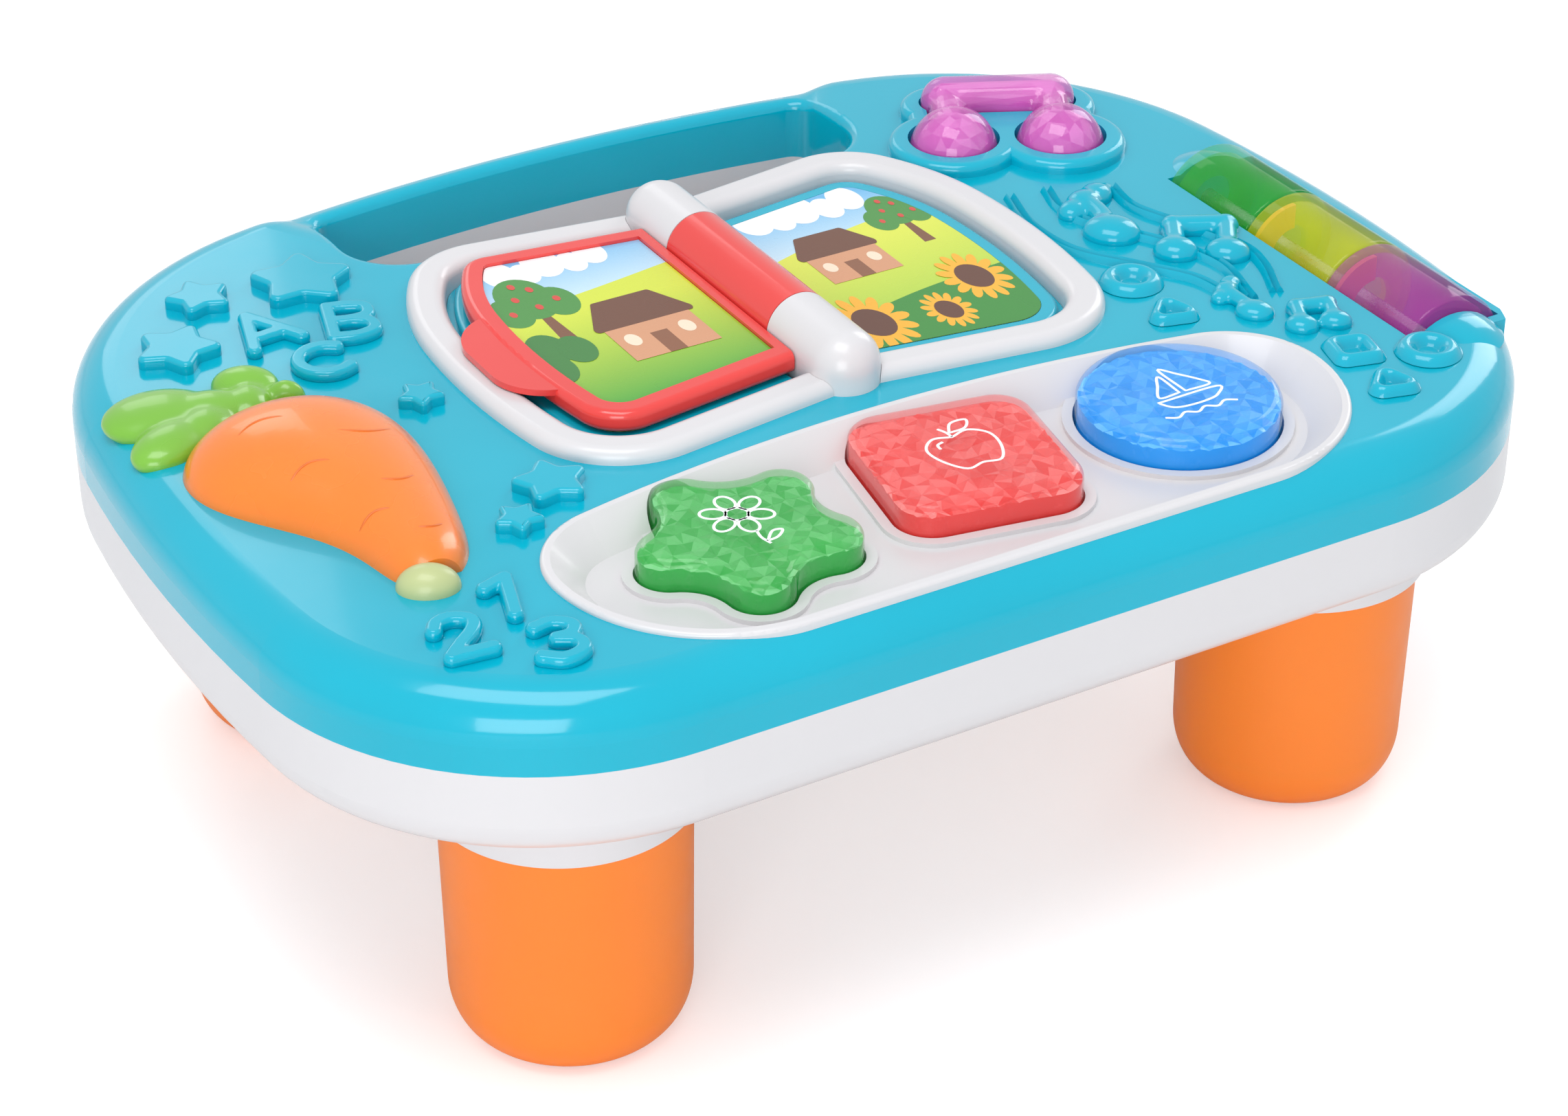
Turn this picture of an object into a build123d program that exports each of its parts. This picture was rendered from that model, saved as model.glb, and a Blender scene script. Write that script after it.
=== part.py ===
from build123d import *
import os
from math import acos, cos, degrees, radians, sin, tan

os.makedirs("parts", exist_ok=True)

# Table top: a straight front, then tangent bends as (radius, turn in degrees), then one closing arc
front_straight = 209.2
front_corner_radius = 83.2
front_corner_turn = 84.45
side_radius = 536.6
side_turn = 12.7
rear_corner_radius = 103.8
rear_corner_turn = 71.96
deck_height = 129.7
rim_depth = 20.9
belly_depth = 25.8
rim_radius = 12.8
belly_radius = 10.5
shell_wall = 2.6
overrun = 40.0
quarter_turn = 90

# Carrying handle at the back
handle_width = 14.2
opening_half = 83.7
opening_strip = 1.5
opening_front_radius = 19.0
opening_back_radius = 7.0
handle_drop = 2.3
handle_start_x = 83.0
handle_start_y = 100.0
handle_skew = 31.0
shoulder_hill = 24.0
shoulder_valley = 12.0
handle_edge_radius = 3.0

# Legs, with a collar round the top of each
leg_top_radius = 33.1
leg_base_radius = 32.3
leg_wall = 2.6
leg_gap = 0.25
collar_radius = 35.4
collar_depth = 12.7
collar_seat = 1.2
foot_height = 13.9
foot_inset = 8.7
foot_plug_height = 8.0
foot_plug_gap = 0.1
spigot_radius = 16.0
spigot_height = 11.0
spigot_bore = 12.5
front_leg_x = 116.2
front_leg_y = -93.2
rear_leg_x = 115.3
rear_leg_y = 77.1

# Book: bezel, bed with two picture pads, and one page on a spine
book_rear = 73.0
book_slant = 8.0
book_rear_length = 55.0
book_rear_corner_radius = 24.0
book_rear_corner_turn = 66.0
book_shoulder_radius = 85.0
book_shoulder_turn = 26.0
book_side_radius = 220.0
book_side_turn = 16.0
book_front_corner_radius = 29.0
lip_width = 2.2
lip_depth = 1.2
seat_gap = 0.1
bezel_rise = 4.2
bezel_width = 11.0
bezel_round = 3.4
bezel_depth = 8.7
bezel_ledge = 2.6
bezel_ledge_height = 1.5
bed_drop = 3.2
pad_inset = 13.2
pad_rise = 3.1
pad_round = 1.4
pad_rim = 4.6
picture_depth = 0.8
picture_gap = 0.15
spine_rise = 5.1
spine_radius = 10.1
front_cap_start = -47.5
sleeve_start = -13.4
sleeve_end = 43.5
rear_cap_end = 75.0
pin_radius = 2.5
pin_gap = 0.05
pin_hold = 15.0
page_gap = 0.3
page_spine_gap = 0.5
page_inset = 15.5
page_lift = 0.7
page_thickness = 6.3
page_bead = 6.0
page_round = 2.2
page_pocket = 1.8
card_thickness = 0.8
tab_reach = 9.5
tab_radius = 17.0
tab_straight = 14.0
tab_place = 9.0
tab_thickness = 1.8
tab_drop = 0.4

# Button tray
tray_front = -139.3
tray_straight = 141.0
tray_front_radius = 46.8
tray_front_turn = 90.0
tray_rear_radius = 27.4
tray_rear_turn = 78.4
tray_rise = 1.4
tray_lip = 1.4
tray_lip_depth = 1.6
tray_lip_round = 1.1
tray_rim = 2.6
tray_slope = 8.6
tray_depth = 8.4
tray_thickness = 2.4
ring_width = 3.4
ring_height = 1.3

# Push buttons
button_rise = 3.1
button_wall = 2.2
button_round = 3.2
button_gap = 0.5
flange_width = 2.0
flange_height = 2.4
flange_gap = 0.3
star_inset = 7.8
star_row = 46.3
star_tip = 30.4
star_valley = 22.7
star_lobe = 9.0
star_turn = 107.0
star_arms = 5
square_shift = 5.3
square_row = 49.6
square_side = 52.3
square_corner = 10.5
square_turn = -10.0
round_outset = 1.2
round_row = 46.9
round_radius = 27.85
guide_plate = 2.6
guide_stem_radius = 5.0
guide_drop = 21.7
dome_radius = 6.5
dome_wall = 1.2
dome_height = 6.0
board_thickness = 1.6
board_margin = 27.0
board_width = 50.0
board_corner = 4.0
post_radius = 3.2
post_inset = 5.0
light_radius = 2.5
light_height = 3.0
light_reach = 11.0

# Note button: two balls, their stems and the beam that joins them
left_ball = (102.3, 67.9)
right_ball = (131.3, 53.6)
ball_radius = 13.4
ball_drop = 0.1
stem_length = 25.0
stem_radius = 5.8
stem_rise = 2.3
beam_radius = 7.6
beam_rise = 4.5
note_hollow_drop = 2.2
plinth_reach = 6.4
plinth_rise = 4.0
plinth_round = 2.6
note_board_length = 62.0
note_board_width = 46.0

# Roller in its trough
roller_x = 161.9
roller_drop = 9.6
roller_radius = 17.4
roller_front = -95.5
roller_rear = 18.5
roller_wall = 2.2
roller_end_gap = 0.4
drum_count = 3
trough_gap = 0.8
trough_wall = 2.2
trough_end = 3.2
axle_radius = 2.5
axle_gap = 0.05
tube_radius = 7.6
disc_thickness = 1.6
housing_drop = 15.7
housing_radius = 19.0
housing_length = 21.0

# Carrot ornament: stations as (place along it, bend, half width, height)
carrot_x = -147.0
carrot_y = 14.0
carrot_length = 92.0
carrot_width = 60.0
carrot_rise = 13.0
carrot_sink = 1.6
carrot_station_shares = (
    (0.0, 0.0, 0.22, 0.30),
    (0.04, 0.0, 0.62, 0.66),
    (0.16, 0.0, 0.94, 0.95),
    (0.34, 0.02, 0.98, 1.0),
    (0.55, 0.09, 0.76, 0.88),
    (0.78, 0.14, 0.50, 0.70),
    (0.94, 0.12, 0.36, 0.58),
    (1.0, 0.10, 0.25, 0.46),
)
carrot_tip_radius = 8.6
leaf_rise = 9.0
leaf_length = 44.0
leaf_width = 21.0
# Leaves of the ornament, as (direction in degrees, share of the full length)
leaf_shares = ((152.0, 1.0), (118.0, 0.86), (84.0, 0.8))

# Inside the shells and underneath
boss_radius = 5.6
boss_bore = 1.8
boss_rise = 4.2
head_radius = 3.6
head_height = 2.4
head_recess = 9.0
screw_radius = 1.7
screw_bite = 5.0
screw_hole_depth = 8.0
side_boss = (124.0, 0.0)
front_boss = (132.0, -118.0)
rear_boss = (163.0, 62.0)
cell_radius = 7.2
cell_length = 50.5
cell_gap = 0.6
cell_count = 3
cell_place = (0.0, 14.0)
contact_thickness = 0.5
contact_size = 8.0
contact_room = 2.2
door_margin = 5.0
door_thickness = 2.2
door_gap = 0.3
door_corner = 4.0
door_screw_radius = 1.5
speaker_place = (-72.0, 12.0)
speaker_radius = 20.0
speaker_height = 9.0
speaker_magnet_radius = 9.0
speaker_magnet_height = 5.0
grille_hole_radius = 1.3
grille_pitch = 5.4
grille_rows = 5
switch_place = (68.0, 12.0)
switch_travel = 8.0
switch_knob_length = 9.0
switch_knob_width = 6.0
switch_slot_gap = 0.4
switch_stand = 1.2
switch_flange = 1.6
switch_flange_height = 1.2
switch_body_length = 28.0
switch_body_width = 14.0
switch_body_height = 7.0

# Levels that follow from the deck
seam_height = deck_height - rim_depth
shell_bottom = seam_height - belly_depth
collar_bottom = shell_bottom - collar_depth
bezel_crest = deck_height + bezel_rise
bezel_bottom = deck_height - bezel_depth
bed_top = deck_height - bed_drop
pad_top = bed_top + pad_rise
spine_height = deck_height + spine_rise
page_bottom = pad_top + page_lift
page_top = page_bottom + page_thickness
tab_bottom = page_top - tab_drop - tab_thickness
tray_crest = deck_height + tray_rise
tray_floor = tray_crest - tray_depth
button_top = deck_height + button_rise
guide_bottom = deck_height - guide_drop
board_top = guide_bottom - dome_height
ball_height = deck_height - ball_drop
stem_height = deck_height + stem_rise
beam_height = deck_height + beam_rise
note_hollow_top = deck_height - note_hollow_drop
roller_z = deck_height - roller_drop
housing_height = deck_height - housing_drop
boss_split = seam_height + boss_rise

# Places of the push buttons in their tray
star_place = (star_inset - tray_straight / 2, tray_front + star_row)
square_place = (square_shift, tray_front + square_row)
round_place = (tray_straight / 2 + round_outset, tray_front + round_row)
board_length = tray_straight + board_margin

table_bends = (
    (front_corner_radius, front_corner_turn),
    (side_radius, side_turn),
    (rear_corner_radius, rear_corner_turn),
)
tray_bends = ((tray_front_radius, tray_front_turn), (tray_rear_radius, tray_rear_turn))
book_front_corner_turn = 180 + 2 * book_slant - book_rear_corner_turn - book_shoulder_turn - book_side_turn
book_bends = (
    (book_rear_corner_radius, book_rear_corner_turn),
    (book_shoulder_radius, book_shoulder_turn),
    (book_side_radius, book_side_turn),
    (book_front_corner_radius, book_front_corner_turn),
)


def rounded_outline(front, straight, bends, inset=0):
    """Plan with a straight front and tangent bends, closed by one arc centred on the middle line."""
    with BuildSketch() as plan:
        with BuildLine():
            run = Line((0, front), (straight / 2, front))
            for radius, turn in bends:
                run = JernArc(run @ 1, run % 1, radius, turn)
            heading = sum(turn for radius, turn in bends)
            JernArc(run @ 1, run % 1, (run @ 1).X / sin(radians(heading)), 180 - heading)
            mirror(about=Plane.YZ)
        make_face()
        if inset:
            offset(amount=-inset)
    return plan.sketch


def book_outline(inset=0):
    """Plan of an open book: slanting rear and front edges that meet at the spine."""
    with BuildSketch() as plan:
        with BuildLine():
            slope = tan(radians(book_slant))
            run = Line((0, book_rear), (book_rear_length, book_rear + book_rear_length * slope))
            for radius, turn in book_bends:
                run = JernArc(run @ 1, run % 1, radius, -turn)
            end = run @ 1
            Line(end, (0, end.Y + end.X * slope))
            mirror(about=Plane.YZ)
        make_face()
        if inset:
            offset(amount=-inset)
    return plan.sketch


def grown(plan, amount):
    """The same plan with its edge moved outwards, or inwards where the amount is negative."""
    with BuildSketch() as wider:
        add(plan)
        offset(amount=amount)
    return wider.sketch


def left_of(plan, edge):
    """The part of a plan that lies left of a line along Y."""
    with BuildSketch() as part:
        add(plan)
        with Locations((edge - table_width / 2, 0)):
            Rectangle(table_width, table_width, mode=Mode.INTERSECT)
    return part.sketch


def prism(plan, low, high, mode=Mode.ADD):
    """Raise a plan from one height to another."""
    with BuildSketch(Plane.XY.offset(low)) as base:
        add(plan)
    extrude(base.sketch, amount=high - low, mode=mode)


def disc(place, radius):
    """Round plan."""
    with BuildSketch() as plan:
        with Locations(place):
            Circle(radius)
    return plan.sketch


def block(place, length, width, corner=0):
    """Rectangular plan, with rounded corners where a radius is given."""
    with BuildSketch() as plan:
        with Locations(place):
            if corner:
                RectangleRounded(length, width, corner)
            else:
                Rectangle(length, width)
    return plan.sketch


def bar(start, end, radius):
    """Plan of a bar with round ends between two points."""
    a = Vector(*start)
    b = Vector(*end)
    with BuildSketch() as plan:
        with Locations((a + b) / 2):
            angle = (b - a).get_signed_angle(Vector(1, 0), Vector(0, 0, -1))
            SlotCenterToCenter((b - a).length, 2 * radius, rotation=angle)
    return plan.sketch


def joined(*plans):
    """Several plans as one."""
    with BuildSketch() as whole:
        for plan in plans:
            add(plan)
    return whole.sketch


def star_plan(place, tip, valley, lobe, turn):
    """Star whose round lobes and round valleys meet in tangent arcs."""
    half = radians(180 / star_arms)
    hub = tip - lobe
    dip = (hub**2 + valley**2 - 2 * hub * valley * cos(half) - lobe**2) / (
        2 * (lobe - valley + hub * cos(half))
    )
    lobe_middle = Vector(hub, 0)
    dip_middle = Vector(cos(half), sin(half)) * (valley + dip)
    meet = lobe_middle + (dip_middle - lobe_middle).normalized() * lobe
    low_meet = Vector(meet.X, -meet.Y)
    dip_point = Vector(cos(half), sin(half)) * valley
    with BuildSketch() as plan:
        with BuildLine():
            for arm in range(star_arms):
                angle = turn + arm * 360 / star_arms
                start = low_meet.rotate(Axis.Z, angle)
                end = meet.rotate(Axis.Z, angle)
                onward = low_meet.rotate(Axis.Z, angle + 360 / star_arms)
                ThreePointArc(start, Vector(tip, 0).rotate(Axis.Z, angle), end)
                ThreePointArc(end, dip_point.rotate(Axis.Z, angle), onward)
        make_face()
    return plan.sketch.moved(Location((place[0], place[1], 0)))


def ellipsoid(middle, angle, length, width, height):
    """Half lengths along a direction, across it and upwards, centred on the deck."""
    return scale(Sphere(1, mode=Mode.PRIVATE), by=(length, width, height), mode=Mode.PRIVATE).moved(
        Location((middle.X, middle.Y, deck_height), (0, 0, angle))
    )


def save(builder, name):
    """Label a finished piece and write it."""
    builder.part.label = name
    export_step(builder.part, "parts/" + name + ".step")


depth_plan = rounded_outline(0, front_straight, table_bends)
table_depth = depth_plan.bounding_box().size.Y
table_width = depth_plan.bounding_box().size.X
front_y = -table_depth / 2
table_plan = rounded_outline(front_y, front_straight, table_bends)
inner_plan = grown(table_plan, -shell_wall)
bar_plan = grown(table_plan, -handle_width)
book_plan = book_outline()
tray_plan = rounded_outline(tray_front, tray_straight, tray_bends)

# Opening under the carrying handle: it follows the back of the book and the back of the table
with BuildSketch() as opening:
    add(bar_plan)
    with Locations((0, table_depth / 2)):
        Rectangle(2 * opening_half, table_depth, mode=Mode.INTERSECT)
    with BuildLine():
        rise = opening_half * tan(radians(book_slant))
        left = Line((-opening_half - overrun, front_y), (opening_half + overrun, front_y))
        right = Line(left @ 1, (opening_half + overrun, book_rear + opening_strip + rise))
        Polyline(
            right @ 1,
            (opening_half, book_rear + opening_strip + rise),
            (0, book_rear + opening_strip),
            (-opening_half, book_rear + opening_strip + rise),
            (-opening_half - overrun, book_rear + opening_strip + rise),
            left @ 0,
        )
    make_face(mode=Mode.SUBTRACT)
    corners = opening.vertices().filter_by(lambda v: abs(v.X) > opening_half / 2)
    fillet(corners.group_by(Axis.Y)[0], opening_front_radius)
    corners = opening.vertices().filter_by(lambda v: abs(v.X) > opening_half / 2)
    fillet(corners.group_by(Axis.Y)[-1], opening_back_radius)
opening_plan = opening.sketch

star_button_plan = star_plan(star_place, star_tip, star_valley, star_lobe, star_turn)
with BuildSketch() as square_sketch:
    with Locations(square_place):
        RectangleRounded(square_side, square_side, square_corner, rotation=square_turn)
stem_way = (Vector(*left_ball) - Vector(*right_ball)).normalized().rotate(Axis.Z, -90)
stem_ends = [Vector(*ball) + stem_way * stem_length for ball in (left_ball, right_ball)]
note_plan = joined(
    disc(left_ball, ball_radius),
    disc(right_ball, ball_radius),
    bar(left_ball, tuple(stem_ends[0])[:2], stem_radius),
    bar(right_ball, tuple(stem_ends[1])[:2], stem_radius),
    bar(tuple(stem_ends[0])[:2], tuple(stem_ends[1])[:2], beam_radius),
)
button_plans = {
    "star": star_button_plan,
    "square": square_sketch.sketch,
    "round": disc(round_place, round_radius),
}
button_places = {"star": star_place, "square": square_place, "round": round_place}
note_place = tuple((stem_ends[0] + stem_ends[1]) / 2)[:2]
note_middle = tuple((stem_ends[0] + stem_ends[1] + Vector(*left_ball) + Vector(*right_ball)) / 4)[:2]

# Room above the handle: it dips from the deck over a rounded shoulder at each end
shoulder_turn = degrees(acos(1 - handle_drop / (shoulder_hill + shoulder_valley)))
shoulder_start = Vector(handle_start_x, handle_start_y, deck_height)
shoulder_way = Vector(0, 1).rotate(Axis.Z, -handle_skew)
shoulder_across = shoulder_way.rotate(Axis.Z, quarter_turn)
with BuildPart() as handle_room:
    with BuildSketch(Plane(origin=shoulder_start, x_dir=shoulder_across, z_dir=shoulder_way)):
        with BuildLine():
            hill = JernArc((0, 0), (1, 0), shoulder_hill, -shoulder_turn)
            valley = JernArc(hill @ 1, hill % 1, shoulder_valley, shoulder_turn)
            Polyline(
                valley @ 1,
                (table_width, -handle_drop),
                (table_width, overrun),
                (0, overrun),
                (0, 0),
            )
        make_face()
    extrude(amount=table_depth, both=True)
    mirror(about=Plane.YZ, mode=Mode.INTERSECT)
    rear_zone = block((0, handle_start_y + table_depth / 2), 2 * table_width, table_depth)
    prism(rear_zone, seam_height, deck_height + overrun, Mode.INTERSECT)


def rounded_top(plan, top, radius):
    """Plan raised to the top, let down for the handle, with a rounded rim."""
    with BuildPart() as form:
        prism(plan, seam_height, top)
        add(handle_room.part.moved(Location((0, 0, top - deck_height))), mode=Mode.SUBTRACT)
        walls = form.faces().filter_by(lambda face: face.bounding_box().min.Z < seam_height + seat_gap)
        rim = walls.edges().filter_by(lambda edge: edge.bounding_box().min.Z > seam_height + rim_radius / 2)
        fillet(rim, radius)
    return form.part


# Full outer form of the top, used for what is laid on its rounded rim
with BuildPart() as deck_form:
    prism(table_plan, seam_height, deck_height)
    fillet(deck_form.faces().sort_by(Axis.Z)[-1].edges(), rim_radius)

# The top with its handle let down and its opening, and the wall round the opening
with BuildPart() as top_form:
    add(rounded_top(table_plan, deck_height, rim_radius))
    prism(opening_plan, seam_height, deck_height, Mode.SUBTRACT)
    mouth_edges = top_form.edges(Select.LAST).filter_by(
        lambda edge: edge.bounding_box().min.Z > deck_height - handle_drop - seat_gap
    )
    fillet(mouth_edges, handle_edge_radius)
with BuildPart() as opening_wall:
    prism(grown(opening_plan, shell_wall), seam_height, deck_height)
    add(top_form.part, mode=Mode.INTERSECT)

trough_radius = roller_radius + trough_gap
trough_low = roller_front - roller_end_gap
trough_high = roller_rear + roller_end_gap
bosses = [
    (side * place[0], place[1]) for place in (side_boss, front_boss, rear_boss) for side in (-1, 1)
]


def axis_bar(x, z, radius, low, high, mode=Mode.ADD):
    """Cylinder along Y between two places."""
    with BuildSketch(Plane.XZ.offset(-high)) as base:
        with Locations((x, z)):
            Circle(radius)
    extrude(base.sketch, amount=high - low, mode=mode)


def housing(start, way):
    """Rounded housing that covers one end of the roller."""
    with BuildPart() as cover:
        with BuildSketch(Plane.YZ.offset(roller_x)):
            with BuildLine():
                middle = (start, housing_height)
                curve = EllipticalCenterArc(middle, housing_length, housing_radius, arc_size=quarter_turn)
                Line(curve @ 1, middle)
                Line(middle, curve @ 0)
            make_face()
        revolve(axis=Axis((roller_x, start, housing_height), (0, 1, 0)))
        if way < 0:
            mirror(about=Plane.XZ.offset(-start), mode=Mode.REPLACE)
        prism(table_plan, deck_height - shell_wall, deck_height + 2 * housing_radius, Mode.INTERSECT)
    return cover.part


front_housing = housing(trough_low, -1)
rear_housing = housing(trough_high, 1)
tray_hole = grown(tray_plan, seat_gap - tray_lip)
book_hole = grown(book_plan, seat_gap - lip_width)
note_hole = grown(note_plan, button_gap)

# Trough under the roller: inside the wall above the seam and clear of the lower shell below it
with BuildPart() as trough:
    trough_outer = trough_radius + trough_wall
    axis_bar(roller_x, roller_z, trough_outer, trough_low - trough_end, trough_high + trough_end)
    with BuildSketch(Plane.XY.offset(seam_height)) as above_seam:
        add(grown(table_plan, -shell_wall / 2))
    with BuildSketch(Plane.XY.offset(seam_height)) as below_seam:
        add(grown(inner_plan, -leg_gap))
    room = extrude(above_seam.sketch, amount=deck_height - shell_wall / 2 - seam_height, mode=Mode.PRIVATE)
    room += extrude(below_seam.sketch, amount=-trough_outer, mode=Mode.PRIVATE)
    add(room, mode=Mode.INTERSECT)

# Upper shell: deck, handle, note plinth, roller trough and its two end housings
with BuildPart() as upper_shell:
    add(top_form.part)
    add(rounded_top(inner_plan, deck_height - shell_wall, rim_radius - shell_wall), mode=Mode.SUBTRACT)
    add(opening_wall.part)
    plinth_plan = grown(note_plan, plinth_reach)
    prism(plinth_plan, deck_height - shell_wall, deck_height + plinth_rise)
    fillet(upper_shell.faces().sort_by(Axis.Z)[-1].edges(), plinth_round)
    add(front_housing)
    add(rear_housing)
    add(trough.part)
    with BuildSketch(Plane.XY.offset(boss_split)):
        with Locations(bosses):
            Circle(boss_radius)
    extrude(amount=deck_height - shell_wall / 2 - boss_split)
    with BuildSketch(Plane.XY.offset(boss_split)):
        with Locations(bosses):
            Circle(screw_radius)
    extrude(amount=screw_hole_depth, mode=Mode.SUBTRACT)
    axis_bar(roller_x, roller_z, trough_radius, trough_low, trough_high, Mode.SUBTRACT)
    axle_low = trough_low - trough_end
    axis_bar(roller_x, roller_z, axle_radius + axle_gap, axle_low, trough_high + trough_end, Mode.SUBTRACT)
    prism(tray_plan, tray_crest - tray_lip_depth - tray_lip_depth, deck_height + rim_radius, Mode.SUBTRACT)
    prism(tray_hole, seam_height, deck_height, Mode.SUBTRACT)
    prism(book_plan, deck_height - lip_depth, deck_height + overrun, Mode.SUBTRACT)
    prism(book_hole, seam_height, deck_height, Mode.SUBTRACT)
    prism(note_hole, seam_height, deck_height + overrun, Mode.SUBTRACT)
save(upper_shell, "upper_shell")

# Legs: tubes that plug into the lower shell through their collars
legs = {
    "front_left": (-front_leg_x, front_leg_y),
    "front_right": (front_leg_x, front_leg_y),
    "rear_left": (-rear_leg_x, rear_leg_y),
    "rear_right": (rear_leg_x, rear_leg_y),
}
leg_top = shell_bottom - seat_gap
for name, place in legs.items():
    with BuildPart() as leg:
        with BuildSketch(Plane.XZ.offset(-place[1])):
            with BuildLine():
                Polyline(
                    (place[0], leg_top - leg_wall),
                    (place[0] + leg_top_radius - leg_wall, leg_top - leg_wall),
                    (place[0] + leg_base_radius - leg_wall, foot_height),
                    (place[0] + leg_base_radius, foot_height),
                    (place[0] + leg_top_radius, collar_bottom),
                    (place[0] + leg_top_radius, leg_top),
                    (place[0] + spigot_radius, leg_top),
                    (place[0] + spigot_radius, leg_top + spigot_height),
                    (place[0], leg_top + spigot_height),
                    close=True,
                )
            make_face()
        revolve(axis=Axis((place[0], place[1], 0), (0, 0, 1)))
        bore_top = leg_top + spigot_height - leg_wall
        prism(disc(place, spigot_bore), leg_top - leg_wall, bore_top, Mode.SUBTRACT)
    save(leg, "leg_" + name)
    with BuildPart() as foot:
        with BuildSketch(Plane.XZ.offset(-place[1])):
            with BuildLine():
                base = Line((place[0], 0), (place[0] + leg_base_radius - foot_inset, 0))
                plug = leg_base_radius - leg_wall - foot_plug_gap
                curve = EllipticalCenterArc(
                    (place[0] + leg_base_radius - foot_inset, foot_height),
                    foot_inset,
                    foot_height,
                    start_angle=-90,
                    arc_size=quarter_turn,
                )
                Polyline(
                    curve @ 1,
                    (place[0] + plug, foot_height),
                    (place[0] + plug, foot_height + foot_plug_height),
                    (place[0] + plug - leg_wall, foot_height + foot_plug_height),
                    (place[0] + plug - leg_wall, leg_wall),
                    (place[0], leg_wall),
                    base @ 0,
                )
            make_face()
        revolve(axis=Axis((place[0], place[1], 0), (0, 0, 1)))
    save(foot, "foot_" + name)

# Battery bay, door and cells, under the book
bay_length = cell_length + 2 * contact_room
bay_width = cell_count * 2 * (cell_radius + cell_gap)
bay_low = shell_bottom + door_thickness + door_gap
bay_top = bay_low + 2 * cell_radius + cell_gap
bay_plan = block(cell_place, bay_length, bay_width)
door_length = bay_length + 2 * door_margin
door_width = bay_width + 2 * door_margin
door_plan = block(cell_place, door_length, door_width, door_corner)
door_screw_place = (cell_place[0], cell_place[1] - bay_width / 2 - door_margin / 2)
cell_rows = [
    cell_place[1] + (row - (cell_count - 1) / 2) * 2 * (cell_radius + cell_gap) for row in range(cell_count)
]

# Collar rings, let into the underside of the lower shell
def collar_ring(place, gap):
    """Plan of a collar ring with a gap all round it."""
    with BuildSketch() as ring:
        with Locations(place):
            Circle(collar_radius + gap)
            Circle(leg_top_radius + leg_gap - gap, mode=Mode.SUBTRACT)
    return ring.sketch


for name, place in legs.items():
    with BuildPart() as collar:
        prism(collar_ring(place, 0), collar_bottom, shell_bottom + collar_seat)
    save(collar, "collar_" + name)

# Circuit boards stand on posts of the lower shell
boards = {
    "button_board": (
        ((star_place[0] + round_place[0]) / 2, square_place[1] - flange_width), board_length, board_width
    ),
    "note_board": (note_middle, note_board_length, note_board_width),
}
board_low = board_top - board_thickness
posts = [
    (place[0] + side * (length / 2 - post_inset), place[1] + end * (width / 2 - post_inset))
    for place, length, width in boards.values()
    for side in (-1, 1)
    for end in (-1, 1)
]
floor_top = shell_bottom + shell_wall
slot_length = switch_knob_length + switch_travel + 2 * switch_slot_gap
slot_middle = (switch_place[0] + switch_travel / 2, switch_place[1])

with BuildPart() as lower_core:
    prism(inner_plan, floor_top, seam_height)
    fillet(lower_core.faces().sort_by(Axis.Z)[0].edges(), belly_radius - shell_wall)

# Lower shell: bowl with collar grooves, bosses, battery bay, speaker grille and the handle's lower half
with BuildPart() as lower_shell:
    prism(table_plan, shell_bottom, seam_height)
    fillet(lower_shell.faces().sort_by(Axis.Z)[0].edges(), belly_radius)
    add(lower_core.part, mode=Mode.SUBTRACT)
    prism(grown(opening_plan, shell_wall), floor_top, seam_height)
    prism(opening_plan, shell_bottom, seam_height, Mode.SUBTRACT)
    for place in legs.values():
        groove_top = shell_bottom + collar_seat + seat_gap
        prism(collar_ring(place, seat_gap), shell_bottom, groove_top, Mode.SUBTRACT)
        prism(disc(place, spigot_radius + leg_gap), shell_bottom, floor_top, Mode.SUBTRACT)
    for place in bosses:
        prism(disc(place, boss_radius), floor_top, boss_split)
    for place in posts:
        prism(disc(place, post_radius), floor_top, board_low)
    prism(grown(door_plan, shell_wall), floor_top, bay_low + shell_wall)
    prism(grown(bay_plan, shell_wall), floor_top, bay_top + shell_wall)
    prism(door_plan, shell_bottom, bay_low, Mode.SUBTRACT)
    prism(bay_plan, bay_low, bay_top, Mode.SUBTRACT)
    prism(disc(door_screw_place, door_screw_radius), bay_low, bay_low + shell_wall, Mode.SUBTRACT)
    for place in bosses:
        prism(disc(place, head_radius + leg_gap), shell_bottom, shell_bottom + head_recess, Mode.SUBTRACT)
        prism(disc(place, boss_bore), shell_bottom, boss_split, Mode.SUBTRACT)
    with BuildSketch(Plane.XY.offset(shell_bottom)):
        with Locations(speaker_place):
            with HexLocations(grille_pitch / 2, grille_rows, grille_rows):
                Circle(grille_hole_radius)
    extrude(amount=shell_wall, mode=Mode.SUBTRACT)
    slot_plan = block(slot_middle, slot_length, switch_knob_width + 2 * switch_slot_gap)
    prism(slot_plan, shell_bottom, floor_top, Mode.SUBTRACT)
save(lower_shell, "lower_shell")

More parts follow.
